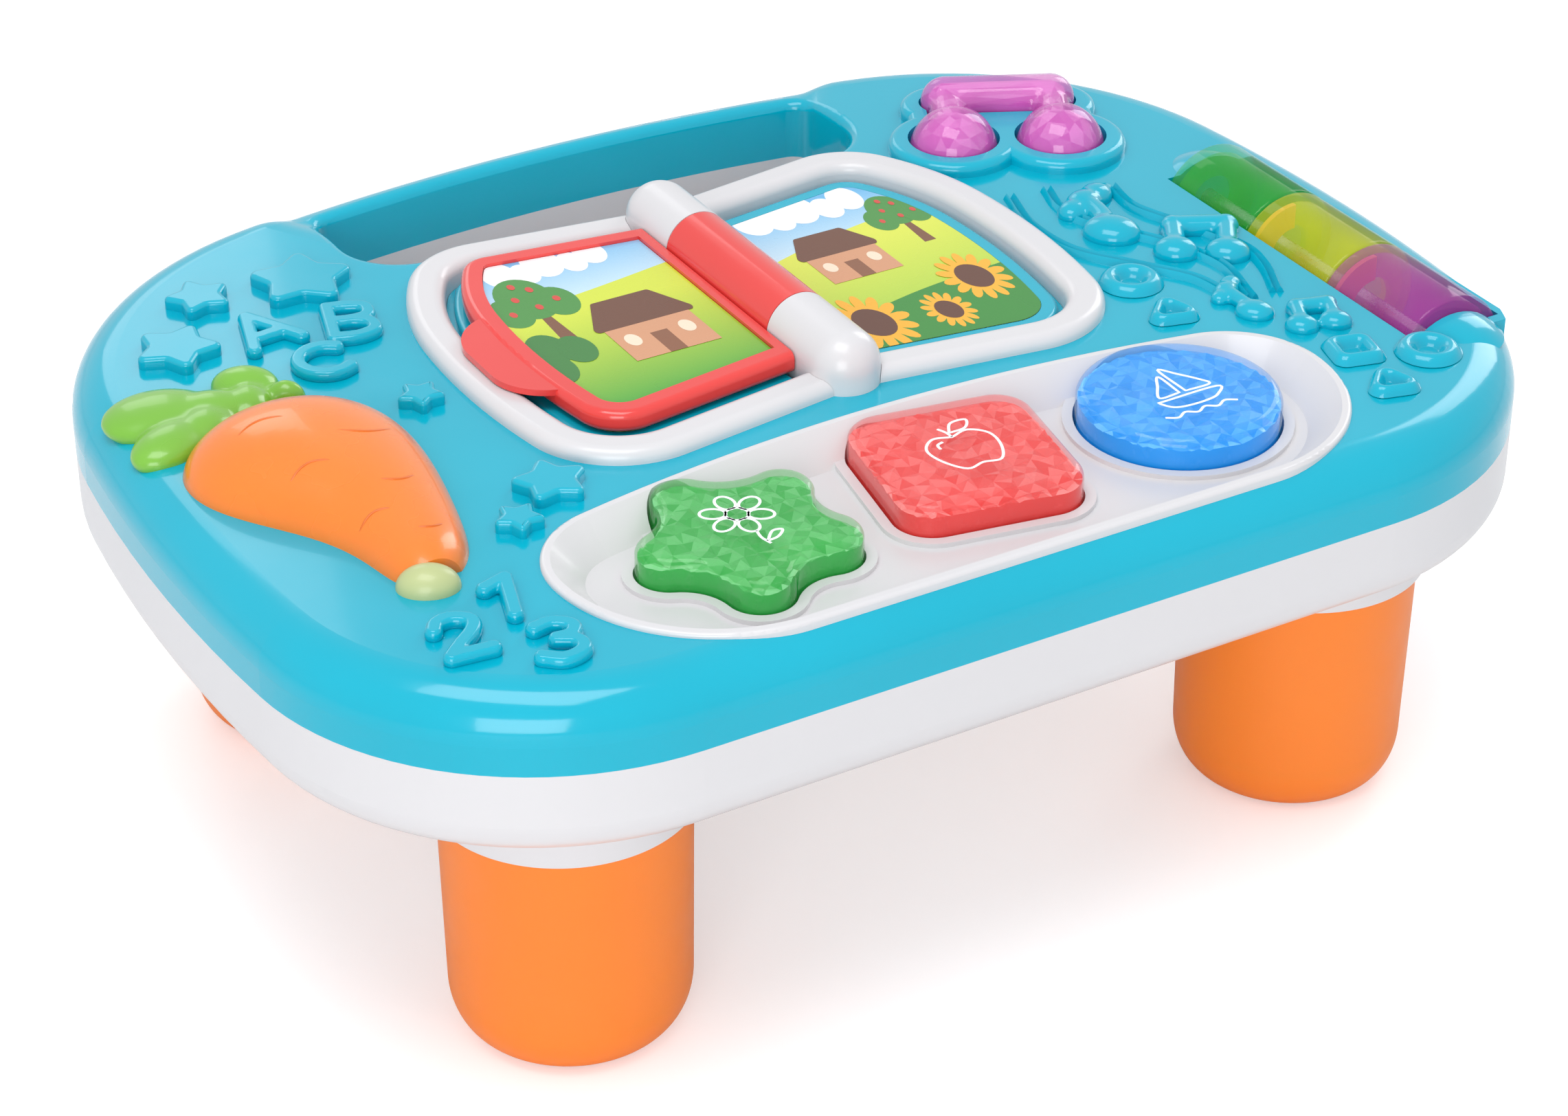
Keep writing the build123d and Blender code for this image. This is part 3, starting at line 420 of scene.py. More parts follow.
class Palette:
    """The finishes of the table."""

    TEAL = Moulded(
        "teal_gloss", "00AFC8", roughness=0.16, gloss_change=0.03, coat=0.4, flow=0.03, specular=0.3
    )
    WHITE = Moulded("white_satin", "DCD9DA", roughness=0.3, gloss_change=0.02, coat=0.2, flow=0.008)
    ORANGE = Moulded("orange_satin", "FF8422", roughness=0.42, coat=0.0, flow=0.03, subsurface=0.1)
    RED = Moulded("red_gloss", "E8403C", roughness=0.2, coat=0.4, flow=0.03)
    CARROT = Moulded("carrot_gloss", "F98224", roughness=0.26, coat=0.4, flow=0.05, subsurface=0.15)
    # Darker orange painted as shade in the carrot's creases.
    PAINTED_CREASE_SHADE = Moulded("carrot_crease_shade", "E06A12", roughness=0.35, coat=0.1)
    LEAF = Moulded("leaf_gloss", "7CBC3A", roughness=0.28, coat=0.4, flow=0.06)
    TIP = Moulded("tip_satin", "BFC78C", roughness=0.36, coat=0.2)
    GREEN = Clear("cap_green", "3CBE50", body=0.34)
    RUBY = Clear("cap_red", "F24C4A", body=0.34)
    BLUE = Clear("cap_blue", "20A8F4", body=0.34)
    PINK = Clear("cap_pink", "DA66C4", body=0.55)
    # Each core's second colour is the painted highlight of its upward facets.
    GREEN_CORE = Faceted("green_core", "2AA246", painted_highlight_colour="A6EAB0")
    RUBY_CORE = Faceted("red_core", "E0423E", painted_highlight_colour="FFB0AC")
    BLUE_CORE = Faceted("blue_core", "1096EA", painted_highlight_colour="8CDCFF")
    PINK_CORE = Faceted("pink_core", "CA5EB0", painted_highlight_colour="FFC8F0")
    # The drums carry a stronger painted glow, which makes them brighter.
    ROLLER_GREEN = Clear("roller_green", "22B428", body=0.3, painted_glow=0.16)
    ROLLER_YELLOW = Clear("roller_yellow", "D6DA0C", body=0.28, painted_glow=0.16)
    ROLLER_PURPLE = Clear("roller_purple", "B636A4", body=0.3, painted_glow=0.16)
    DISC_ORANGE = Moulded("disc_orange", "F59A34", roughness=0.3)
    FROSTED = Clear("lamp_frosted", "F2F5F6", body=0.6, roughness=0.35)
    RUBBER = Moulded("silicone", "D8D6D0", roughness=0.6, coat=0.0)
    BOARD = Moulded("board_green", "1F6B35", roughness=0.45, coat=0.1)
    CELL = Moulded("cell_wrap", "5A6670", roughness=0.3)
    BLACK = Moulded("black_plastic", "1A1A1C", roughness=0.45, coat=0.0)
    INK = Moulded("white_ink", "FFFFFF", roughness=0.35, coat=0.1, flow=0.01)
    STEEL = Metal("plated_steel", "B8B8BC")


def circle(middle: Point, radius: float, steps: int = 40, squash: float = 1.0, turn: float = 0.0) -> Loop:
    """Trace a circle or an ellipse.

    Args:
        middle: Its middle.
        radius: Its radius, or half its length.
        steps: How many points it has.
        squash: Its width over its length.
        turn: Which way its length points, in degrees.

    Returns:
        The points, anticlockwise.
    """
    cosine, sine = math.cos(math.radians(turn)), math.sin(math.radians(turn))
    loop = []
    for i in range(steps):
        angle = math.tau * i / steps
        x, y = radius * math.cos(angle), radius * squash * math.sin(angle)
        loop.append((middle[0] + x * cosine - y * sine, middle[1] + x * sine + y * cosine))
    return loop


def rounded(corners: Loop, radius: float, steps: int = 6) -> Loop:
    """Round the corners of a polygon.

    Args:
        corners: Its corners, in order.
        radius: The radius of each corner.
        steps: How many pieces each round has.

    Returns:
        The points of the rounded polygon.
    """
    loop = []
    count = len(corners)
    for i in range(count):
        here = Vector(corners[i])
        back = (Vector(corners[i - 1]) - here).normalized()
        on = (Vector(corners[(i + 1) % count]) - here).normalized()
        half = back.angle(on) / 2
        reach = radius / math.tan(half)
        middle = here + (back + on).normalized() * (radius / math.sin(half))
        start = here + back * reach - middle
        sweep = start.angle_signed(here + on * reach - middle)
        for step in range(steps + 1):
            spoke = start.copy()
            spoke.rotate(Matrix.Rotation(-sweep * step / steps, 2))
            loop.append(tuple(middle + spoke))
    return loop


def star(middle: Point, reach: float, turn: float) -> Loop:
    """Trace a plump star of five round points.

    Args:
        middle: Its middle.
        reach: How far its points reach.
        turn: Which way one point looks, in degrees.

    Returns:
        The points.
    """
    points, tip_share, valley_share, round_share = 5, 1.12, 0.64, 0.17
    corners = []
    for i in range(2 * points):
        angle = math.radians(turn + 180 / points * i)
        radius = reach * (valley_share if i % 2 else tip_share)
        corners.append((middle[0] + radius * math.cos(angle), middle[1] + radius * math.sin(angle)))
    return rounded(corners, reach * round_share)


def turned(loop: Loop, middle: Point, turn: float) -> Loop:
    """Turn a loop about a point.

    Args:
        loop: The points.
        middle: What they turn about.
        turn: The angle in degrees.

    Returns:
        The turned points.
    """
    cosine, sine = math.cos(math.radians(turn)), math.sin(math.radians(turn))
    moved = [(x - middle[0], y - middle[1]) for x, y in loop]
    return [(middle[0] + x * cosine - y * sine, middle[1] + x * sine + y * cosine) for x, y in moved]


def linked(name: str, data: bpy.types.ID) -> bpy.types.Object:
    """Put a new object into the scene.

    Args:
        name: Its name.
        data: Its mesh, lamp or camera.

    Returns:
        The object.
    """
    thing = bpy.data.objects.new(name, data)
    bpy.context.scene.collection.objects.link(thing)
    return thing


def poly_curve(spots: list, dimensions: str) -> bpy.types.Curve:
    """Make a curve of straight pieces. A flat one closes on itself.

    Args:
        spots: Its points, in metres.
        dimensions: 2D or 3D.

    Returns:
        The curve.
    """
    curve = bpy.data.curves.new("curve", "CURVE")
    curve.dimensions = dimensions
    spline = curve.splines.new("POLY")
    spline.points.add(len(spots) - 1)
    spline.use_cyclic_u = dimensions == "2D"
    for point, spot in zip(spline.points, spots):
        point.co = (*spot, 1)
    return curve


def curve_mesh(curve: bpy.types.Curve) -> Mesh:
    """Turn a curve into a mesh.

    Args:
        curve: The curve, which is used up.

    Returns:
        The mesh.
    """
    holder = bpy.data.objects.new("holder", curve)
    mesh = bpy.data.meshes.new_from_object(holder)
    bpy.data.objects.remove(holder)
    return mesh


def plate(loop: Loop, low: float, high: float, bevel: float, steps: int = 4) -> Mesh:
    """Raise a plate with soft edges from a loop.

    Args:
        loop: Its outline, in millimetres.
        low: Height of its underside.
        high: Height of its top.
        bevel: Radius of its edges.
        steps: How finely the edges are rounded.

    Returns:
        The mesh, in metres.
    """
    curve = poly_curve([(x * MM, y * MM, 0) for x, y in loop], "2D")
    curve.fill_mode = "BOTH"
    curve.extrude = ((high - low) / 2 - bevel) * MM
    curve.bevel_depth = bevel * MM
    curve.bevel_resolution = steps
    curve.offset = -bevel * MM
    mesh = curve_mesh(curve)
    mesh.transform(Matrix.Translation((0, 0, (low + high) / 2 * MM)))
    return mesh


def smooth_path(points: list[tuple], steps: int = 8) -> list[Vector]:
    """Run a smooth curve through points.

    Args:
        points: What it passes through.
        steps: How many pieces each stretch has.

    Returns:
        The curve's points.
    """
    ends = [Vector(points[0]) * 2 - Vector(points[1]), Vector(points[-1]) * 2 - Vector(points[-2])]
    knots = [ends[0], *[Vector(p) for p in points], ends[1]]
    path = []
    for a, b, c, d in zip(knots, knots[1:], knots[2:], knots[3:]):
        for step in range(steps):
            t = step / steps
            spot = 2 * b + (c - a) * t + (2 * a - 5 * b + 4 * c - d) * t**2 + (3 * b - a - 3 * c + d) * t**3
            path.append(spot / 2)
    path.append(Vector(points[-1]))
    return path


def bridge(work: bmesh.types.BMesh, rings: list[list], around: bool, onward: bool) -> None:
    """Join rings of vertices with faces.

    Args:
        work: The mesh that is worked on.
        rings: The rings, in order, each with as many vertices.
        around: Whether each ring closes on itself.
        onward: Whether the last ring is joined to the first.
    """
    size = len(rings[0])
    after = rings[1:] + rings[:1] if onward else rings[1:]
    for first, second in zip(rings, after):
        for i in range(size if around else size - 1):
            j = (i + 1) % size
            work.faces.new((first[i], first[j], second[j], second[i]))


def ribbon(path: list[Vector], profile: Loop, closed: bool = False) -> Mesh:
    """Sweep an open profile along a path in a level plane.

    Args:
        path: The path, in millimetres.
        profile: The profile's points, as distance to the path's left and height above it.
        closed: Whether the path's end meets its start.

    Returns:
        The mesh, in metres.
    """
    work = bmesh.new()
    rings = []
    count = len(path)
    for i, spot in enumerate(path):
        after = path[(i + 1) % count] if closed else path[min(i + 1, count - 1)]
        before = path[i - 1] if closed else path[max(i - 1, 0)]
        way = (after - before).normalized()
        left = Vector((-way.y, way.x, 0))
        rings.append([work.verts.new((spot + left * x + Vector((0, 0, z))) * MM) for x, z in profile])
    bridge(work, rings, around=False, onward=closed)
    if not closed:
        work.faces.new(rings[0])
        work.faces.new(rings[-1][::-1])
    bmesh.ops.recalc_face_normals(work, faces=work.faces)
    return to_mesh(work)


def to_mesh(work: bmesh.types.BMesh) -> Mesh:
    """Turn a worked mesh into a plain one.

    Args:
        work: The worked mesh, which is used up.

    Returns:
        The plain mesh.
    """
    mesh = bpy.data.meshes.new("mesh")
    work.to_mesh(mesh)
    work.free()
    return mesh


def joined(meshes: list[Mesh]) -> Mesh:
    """Put several meshes into one, keeping their material numbers.

    Args:
        meshes: The meshes, which are used up.

    Returns:
        The one mesh.
    """
    work = bmesh.new()
    for mesh in meshes:
        work.from_mesh(mesh)
        bpy.data.meshes.remove(mesh)
    return to_mesh(work)


def tube(path: list[Vector], radius: float, steps: int = 4) -> Mesh:
    """Run a round bar along a path.

    Args:
        path: The path, in millimetres.
        radius: The bar's radius.
        steps: How round the bar is.

    Returns:
        The mesh, in metres.
    """
    curve = poly_curve([spot * MM for spot in path], "3D")
    curve.bevel_depth = radius * MM
    curve.bevel_resolution = steps
    curve.use_fill_caps = True
    return curve_mesh(curve)


def ball(middle: tuple, radii: tuple, turn: float = 0.0) -> Mesh:
    """Make an ellipsoid.

    Args:
        middle: Its middle, in millimetres.
        radii: Half its length, width and height.
        turn: Which way its length points, in degrees.

    Returns:
        The mesh, in metres.
    """
    work = bmesh.new()
    bmesh.ops.create_uvsphere(work, u_segments=40, v_segments=24, radius=1)
    spin = Matrix.Rotation(math.radians(turn), 4, "Z")
    size = Matrix.Diagonal((radii[0] * MM, radii[1] * MM, radii[2] * MM, 1))
    work.transform(Matrix.Translation(Vector(middle) * MM) @ spin @ size)
    return to_mesh(work)


def modified(mesh: Mesh, steps: list[tuple[str, dict]]) -> Mesh:
    """Run modifiers over a mesh.

    Args:
        mesh: The mesh, which is used up.
        steps: Each modifier's type and settings.

    Returns:
        The changed mesh.
    """
    holder = linked("holder", mesh)
    for kind, settings in steps:
        modifier = holder.modifiers.new(kind, kind)
        for key, value in settings.items():
            setattr(modifier, key, value)
    bpy.context.view_layer.update()
    graph = bpy.context.evaluated_depsgraph_get()
    changed = bpy.data.meshes.new_from_object(holder.evaluated_get(graph))
    bpy.data.objects.remove(holder)
    return changed


def melted(meshes: list[Mesh], voxel: float, rounds: int) -> Mesh:
    """Melt meshes into one smooth skin.

    Args:
        meshes: The meshes, which are used up.
        voxel: How fine the skin is, in millimetres.
        rounds: How often it is smoothed.

    Returns:
        The skin.
    """
    remesh = ("REMESH", {"mode": "VOXEL", "voxel_size": voxel * MM})
    return modified(joined(meshes), [remesh, ("SMOOTH", {"factor": 0.5, "iterations": rounds})])


def pressed(mesh: Mesh, top: float) -> Mesh:
    """Press a mesh flat at a height.

    Args:
        mesh: The mesh, which is changed.
        top: The height, in millimetres.

    Returns:
        The same mesh.
    """
    for vertex in mesh.vertices:
        vertex.co.z = min(vertex.co.z, top * MM)
    return mesh


def common(mesh: Mesh, tool: Mesh) -> Mesh:
    """Keep what of one mesh lies inside another.

    Args:
        mesh: The mesh that is cut, which is used up.
        tool: The mesh that cuts it.

    Returns:
        The cut mesh.
    """
    other = linked("tool", tool)
    settings = {"object": other, "operation": "INTERSECT", "solver": "EXACT"}
    changed = modified(mesh, [("BOOLEAN", settings)])
    bpy.data.objects.remove(other)
    return changed


def place(
    name: str,
    mesh: Mesh,
    finishes: Finish | list[Finish],
    body: Body,
    nodes: tuple[str, ...] = (),
    flat: bool = False,
) -> None:
    """Put a finished piece on the table.

    Args:
        name: The piece's name.
        mesh: Its mesh, in metres, where it belongs.
        finishes: Its finish, or one for each material number of the mesh.
        body: The body that it moves with.
        nodes: The frame's nodes that it stands for.
        flat: Whether its faces are left flat.
    """
    mesh.name = name
    for finish in finishes if isinstance(finishes, list) else [finishes]:
        mesh.materials.append(finish.material())
    if flat:
        mesh.shade_flat()
    else:
        mesh.shade_smooth()
        mesh.set_sharp_from_angle(angle=SMOOTH_ANGLE)
    piece = linked(name, mesh)
    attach(piece, body.value)
    if nodes:
        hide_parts(*nodes)
    LOG.info("%s rides on %s", name, body.value)


def dress(finish: Finish, *nodes: str) -> None:
    """Give nodes of the frame a finish.

    Args:
        finish: The finish.
        nodes: The nodes' names.
    """
    for name in nodes:
        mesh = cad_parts[name].data
        mesh.materials.clear()
        mesh.materials.append(finish.material())
        LOG.info("%s is %s", name, finish.name)


def node_box(name: str) -> tuple[Vector, Vector]:
    """Give a node's lowest and highest corners.

    Args:
        name: The node's name.

    Returns:
        The two corners, in millimetres.
    """
    low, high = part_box(name)
    return low / MM, high / MM


def level_loop(name: str, height: float, slack: float = 0.05) -> Loop:
    """Read the outer edge of a node's level face.

    Args:
        name: The node's name.
        height: The face's height, in millimetres.
        slack: How far from that height a vertex may be.

    Returns:
        The edge's points, in millimetres, anticlockwise.
    """
    work = bmesh.new()
    work.from_mesh(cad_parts[name].data)
    bmesh.ops.remove_doubles(work, verts=work.verts, dist=slack * MM / 10)
    level = {f for f in work.faces if all(abs(v.co.z / MM - height) < slack for v in f.verts)}
    onward: dict[int, list[int]] = {}
    for face in level:
        for loop in face.loops:
            if sum(other in level for other in loop.edge.link_faces) == 1:
                pair = (loop.vert.index, loop.link_loop_next.vert.index)
                onward.setdefault(pair[0], []).append(pair[1])
    work.verts.ensure_lookup_table()
    loops = []
    while onward:
        start = here = next(iter(onward))
        loop = []
        while here in onward:
            loop.append((work.verts[here].co.x / MM, work.verts[here].co.y / MM))
            ways = onward[here]
            after = ways.pop()
            if not ways:
                del onward[here]
            here = after
            if here == start:
                break
        loops.append(loop)
    work.free()
    longest = max(loops, key=lambda loop: abs(area(loop)))
    return longest if area(longest) > 0 else longest[::-1]


def area(loop: Loop) -> float:
    """Give a loop's area.

    Args:
        loop: The points.

    Returns:
        The area, positive where the loop runs anticlockwise.
    """
    return sum(a[0] * b[1] - b[0] * a[1] for a, b in zip(loop, loop[1:] + loop[:1])) / 2


def inside(loop: Loop, edge: Loop) -> Loop:
    """Keep what of a loop lies inside a convex edge.

    Args:
        loop: The points.
        edge: The convex edge, anticlockwise.

    Returns:
        The kept loop, empty where nothing is left.
    """
    kept = loop
    for a, b in zip(edge, edge[1:] + edge[:1]):
        side = [(b[0] - a[0]) * (p[1] - a[1]) - (b[1] - a[1]) * (p[0] - a[0]) for p in kept]
        fresh: Loop = []
        for i, point in enumerate(kept):
            before, last = kept[i - 1], side[i - 1]
            if (last >= 0) != (side[i] >= 0):
                t = last / (last - side[i])
                fresh.append((before[0] + t * (point[0] - before[0]), before[1] + t * (point[1] - before[1])))
            if side[i] >= 0:
                fresh.append(point)
        kept = fresh
        if not kept:
            break
    return kept


@dataclass(frozen=True)
class Bead:
    """An ellipsoid of a raised note. Its half sizes are shares of the note's size."""

    shares: tuple[float, float, float]
    turn: float = 0.0
    lift: float = 0.6


@dataclass
class Ornaments:
    """Raised marks moulded on the deck: stars, letters, numbers, puffed rings and a tune."""

    deck: float = 129.7
    root: float = 1.2
    star_rise: float = 3.6
    star_edge: float = 1.3
    letter_rise: float = 3.0
    letter_voxel: float = 0.4
    letter_rounds: int = 3
    stroke_radius: float = 2.35
    stroke_sink: float = 1.8
    ring_rise: float = 3.0
    ring_reach: float = 9.4
    ring_hole: float = 2.6
    ring_steps: int = 10
    ring_foot: float = 0.1
    ring_fullness: float = 0.8
    ring_corner_share: float = 0.32
    ring_reach_shares: tuple = ((0, 1.0), (3, 1.25), (4, 1.15))
    ring_arc_shares: tuple = (0.02, 1.06)
    staff_width: float = 2.7
    staff_rise: float = 1.9
    staff_foot: float = -0.3
    staff_channel: float = 0.08
    staff_lip_shares: tuple = ((1.25, 0.55), (0.8, 1.0), (0.4, 0.5))
    staff_foot_share: float = 1.7
    note_voxel: float = 0.55
    note_rounds: int = 16
    joint_lift: float = 1.0
    stem_lift: float = 1.2
    stem_top_lift: float = 1.4
    single_head: Bead = Bead((1.0, 0.84, 0.56), -50)
    single_stem_share: float = 0.4
    flag_bead: Bead = Bead((1.2, 1.0, 0.78), 28)
    flag_shares: tuple = (0.52, 0.62, 0.56, 0.3)
    double_head: Bead = Bead((1.0, 0.86, 0.66), -40)
    double_stem_share: float = 0.5
    double_top: Bead = Bead((0.6, 0.6, 0.6), lift=1.0)
    double_beam_share: float = 0.58
    stars: tuple = (
        (-104.2, 85.6, 15.2, 70),
        (-133.4, 90.0, 9.8, 89),
        (-150.3, 65.6, 12.4, 118),
        (-104.3, 8.4, 6.8, 108),
        (-95.2, -49.6, 10.6, 80),
        (-110.7, -61.8, 6.9, 109),
    )
    letters: tuple = (
        ("A", -125.7, 64.2, 1.12, 6),
        ("B", -102.4, 56.8, 1.12, -17),
        ("C", -117.4, 39.9, 1.04, 0),
        ("1", -129.8, -92.6, 1.05, -18),
        ("2", -147.6, -103.0, 1.0, -6),
        ("3", -127.7, -116.8, 0.98, -17),
    )
    rings: tuple = (
        (98.8, -30.8, 0, 0),
        (97.4, -52.6, 3, 75),
        (127.8, -95.4, 4, 30),
        (145.7, -105.4, 0, 0),
        (124.9, -115.8, 3, 75),
    )
    staves: tuple = (
        ((98.7, 31.3), (93.7, 11.7), (95.4, -7.0), (105.4, -23.1), (115.1, -37.8), (117.4, -50.0)),
        ((110.8, 29.9), (107.4, 17.0), (110.0, 4.0), (121.3, -16.6), (126.9, -35.6), (122.4, -56.0)),
        ((128.4, 21.8), (126.2, 8.0), (130.3, -5.6), (138.5, -28.0), (137.2, -41.6), (130.9, -56.1)),
    )
    singles: tuple = (
        (8.9, (111.1, -3.2), (113.8, 7.0), (109.0, 13.4), (114.4, 16.0), (120.4, 18.8), (125.2, 21.0)),
        (5.8, (117.9, -63.4), (117.6, -56.0), (114.6, -52.0), (118.2, -49.6), (121.6, -46.6), (123.8, -44.4)),
    )
    doubles: tuple = (
        (6.8, (120.2, -22.4), (132.4, -30.6), (127.4, -10.4), (141.2, -17.4)),
        (5.0, (124.2, -76.8), (133.8, -79.4), (128.4, -68.2), (137.4, -71.0)),
    )

    def star_mesh(self) -> Mesh:
        """Build the raised stars.

        Returns:
            The mesh.
        """
        low, top = self.deck - self.root, self.deck + self.star_rise
        loops = [star((x, y), reach, turn) for x, y, reach, turn in self.stars]
        return joined([plate(loop, low, top, self.star_edge) for loop in loops])

    def strokes(self, sign: str) -> list[tuple[bool, Loop]]:
        """Give a sign's strokes.

        Args:
            sign: The letter or number.

        Returns:
            Each stroke as whether it is curved, and its points in millimetres.
        """
        bow = [(-5, 8), (0.6, 8), (4.4, 6.4), (4.4, 2.2), (0.6, 0.5), (-5, 0.5)]
        belly = [(0.6, 0.5), (4.6, -1.4), (5.2, -5.6), (0.8, -8), (-5, -8)]
        radius = 7.4
        arc = [(radius * math.cos(a / 10), radius * math.sin(a / 10)) for a in range(8, 56, 5)]
        neck = [(-5.2, 4.4), (-3.4, 7.4), (0.8, 8.4), (4.8, 5.6), (3.6, 1.2), (-1.6, -4.2), (-5, -8)]
        upper = [(-5.2, 6.6), (-0.6, 8.4), (4.2, 6), (3.4, 2), (-0.6, 0.8)]
        lower = [(-0.6, 0.8), (4.4, -1), (5, -5.4), (0, -8.4), (-5.4, -6.4)]
        signs = {
            "A": [(False, [(-6.6, -8), (0, 8), (6.6, -8)]), (False, [(-4.4, -3), (4.4, -3)])],
            "B": [(False, [(-5, -8), (-5, 8)]), (True, bow), (True, belly)],
            "C": [(True, arc)],
            "1": [(False, [(-4.6, 4.2), (0.8, 8), (0.8, -8)])],
            "2": [(True, neck), (False, [(-5, -8), (5.6, -8)])],
            "3": [(True, upper), (True, lower)],
        }
        return signs[sign]

    def letter_mesh(self) -> Mesh:
        """Build the raised letters and numbers: round strokes with a flat top.

        Returns:
            The mesh.
        """
        parts = []
        height = self.deck + self.letter_rise - self.stroke_sink
        for sign, x, y, size, turn in self.letters:
            for curved, points in self.strokes(sign):
                spots = turned([(size * px + x, size * py + y) for px, py in points], (x, y), turn)
                knots = [(px, py, height) for px, py in spots]
                path = smooth_path(knots, steps=5) if curved else [Vector(p) for p in knots]
                runs = [path] if curved else list(zip(path, path[1:]))
                parts += [tube(list(run), self.stroke_radius) for run in runs]
                joints = (path[0], path[-1]) if curved else path
                parts += [ball(tuple(spot), (self.stroke_radius,) * 3) for spot in joints]
        return pressed(melted(parts, self.letter_voxel, self.letter_rounds), self.deck + self.letter_rise)

    def ring_mesh(self) -> Mesh:
        """Build the puffed rings, whose profile swells between a wide foot and a small dimple.

        Returns:
            The mesh.
        """
        meshes = []
        shares = dict(self.ring_reach_shares)
        start, span = self.ring_arc_shares
        for x, y, sides, turn in self.rings:
            reach = self.ring_reach * shares[sides]
            outline = circle((x, y), reach)
            if sides:
                outline = rounded(circle((x, y), reach, sides, turn=turn), reach * self.ring_corner_share)
            path = [Vector((px, py, self.deck)) for px, py in outline]
            middle = Vector((x, y, self.deck))
            work = bmesh.new()
            rings = []
            for step in range(self.ring_steps + 1):
                t = step / self.ring_steps
                scale = 1 + (self.ring_hole / self.ring_reach - 1) * t
                swell = math.sin(math.pi * min(1, t * span + start)) ** self.ring_fullness
                lift = Vector((0, 0, self.ring_rise * swell - self.ring_foot))
                rings.append([work.verts.new((middle + (p - middle) * scale + lift) * MM) for p in path])
            bridge(work, rings, around=True, onward=False)
            work.faces.new(rings[-1])
            meshes.append(to_mesh(work))
        return joined(meshes)

    def staff_mesh(self) -> Mesh:
        """Build the curved staff lines, each with two soft lips and a channel between them.

        Returns:
            The mesh.
        """
        half = self.staff_width / 2
        side = [(self.staff_foot_share * half, self.staff_foot)]
        side += [(across * half, up * self.staff_rise) for across, up in self.staff_lip_shares]
        profile = [*[(-x, z) for x, z in side], (0, self.staff_channel), *side[::-1]]
        paths = [smooth_path([(x, y, self.deck) for x, y in points], steps=10) for points in self.staves]
        return joined([ribbon(path, profile) for path in paths])

    def bead(self, spot: Point, size: float, kind: Bead) -> Mesh:
        """Build one ellipsoid of a note.

        Args:
            spot: Where it lies on the deck.
            size: The note's size.
            kind: Its form.

        Returns:
            The mesh.
        """
        return ball((*spot, self.deck + kind.lift), tuple(size * share for share in kind.shares), kind.turn)

    def note_mesh(self) -> Mesh:
        """Build the puffed music notes that lie on the staff.

        Returns:
            The mesh.
        """
        lifts = (self.joint_lift, self.stem_lift, self.stem_top_lift)
        joint, stem, stem_top = [self.deck + lift for lift in lifts]
        parts = []
        for size, head, neck, *flag in self.singles:
            parts.append(self.bead(head, size, self.single_head))
            path = smooth_path([(*head, joint), (*neck, stem), (*flag[1], joint)], steps=8)
            parts.append(tube(path, size * self.single_stem_share))
            for spot, share in zip(flag, self.flag_shares):
                parts.append(self.bead(spot, size * share, self.flag_bead))
        for size, left, right, left_top, right_top in self.doubles:
            for head, top in ((left, left_top), (right, right_top)):
                parts.append(self.bead(head, size, self.double_head))
                path = smooth_path([(*head, stem), (*top, stem_top)], steps=4)
                parts.append(tube(path, size * self.double_stem_share))
                parts.append(self.bead(top, size, self.double_top))
            beam = [Vector((*left_top, joint)), Vector((*right_top, joint))]
            parts.append(tube(beam, size * self.double_beam_share))
        return melted(parts, self.note_voxel, self.note_rounds)

    def build(self) -> None:
        """Build and place every mark."""
        for name, mesh in (
            ("deck_stars", self.star_mesh()),
            ("deck_letters", self.letter_mesh()),
            ("deck_rings", self.ring_mesh()),
            ("deck_staff", self.staff_mesh()),
            ("deck_notes", self.note_mesh()),
        ):
            place(name, mesh, Palette.TEAL, Body.TABLE)


@dataclass
class Shells:
    """Shells, legs, feet and what is fixed inside and under them."""

    sides: tuple = ("front_left", "front_right", "rear_left", "rear_right")

    def build(self) -> None:
        """Dress the shells, the legs and the inner pieces."""
        dress(Palette.TEAL, "upper_shell", "picture_bed")
        dress(Palette.WHITE, "lower_shell", "book_bezel", "button_tray", "battery_door")
        dress(Palette.WHITE, "spine_cap_front", "spine_cap_rear")
        for side in self.sides:
            dress(Palette.ORANGE, "leg_" + side, "foot_" + side)
            dress(Palette.WHITE, "collar_" + side)
        dress(Palette.STEEL, "page_pin", "battery_contacts", "door_screw", "shell_screws", "roller_axle")
        dress(Palette.BLACK, "speaker", "switch_body", "switch_knob")
        dress(Palette.BOARD, "button_board", "note_board")
        dress(Palette.RUBBER, "star_dome", "square_dome", "round_dome", "note_dome")
        dress(Palette.FROSTED, "lights")
        dress(Palette.CELL, "batteries")


@dataclass
class Layer:
    """One printed shape of a picture, in shares of the picture's width and height."""

    finish: Finish
    loops: list[Loop]


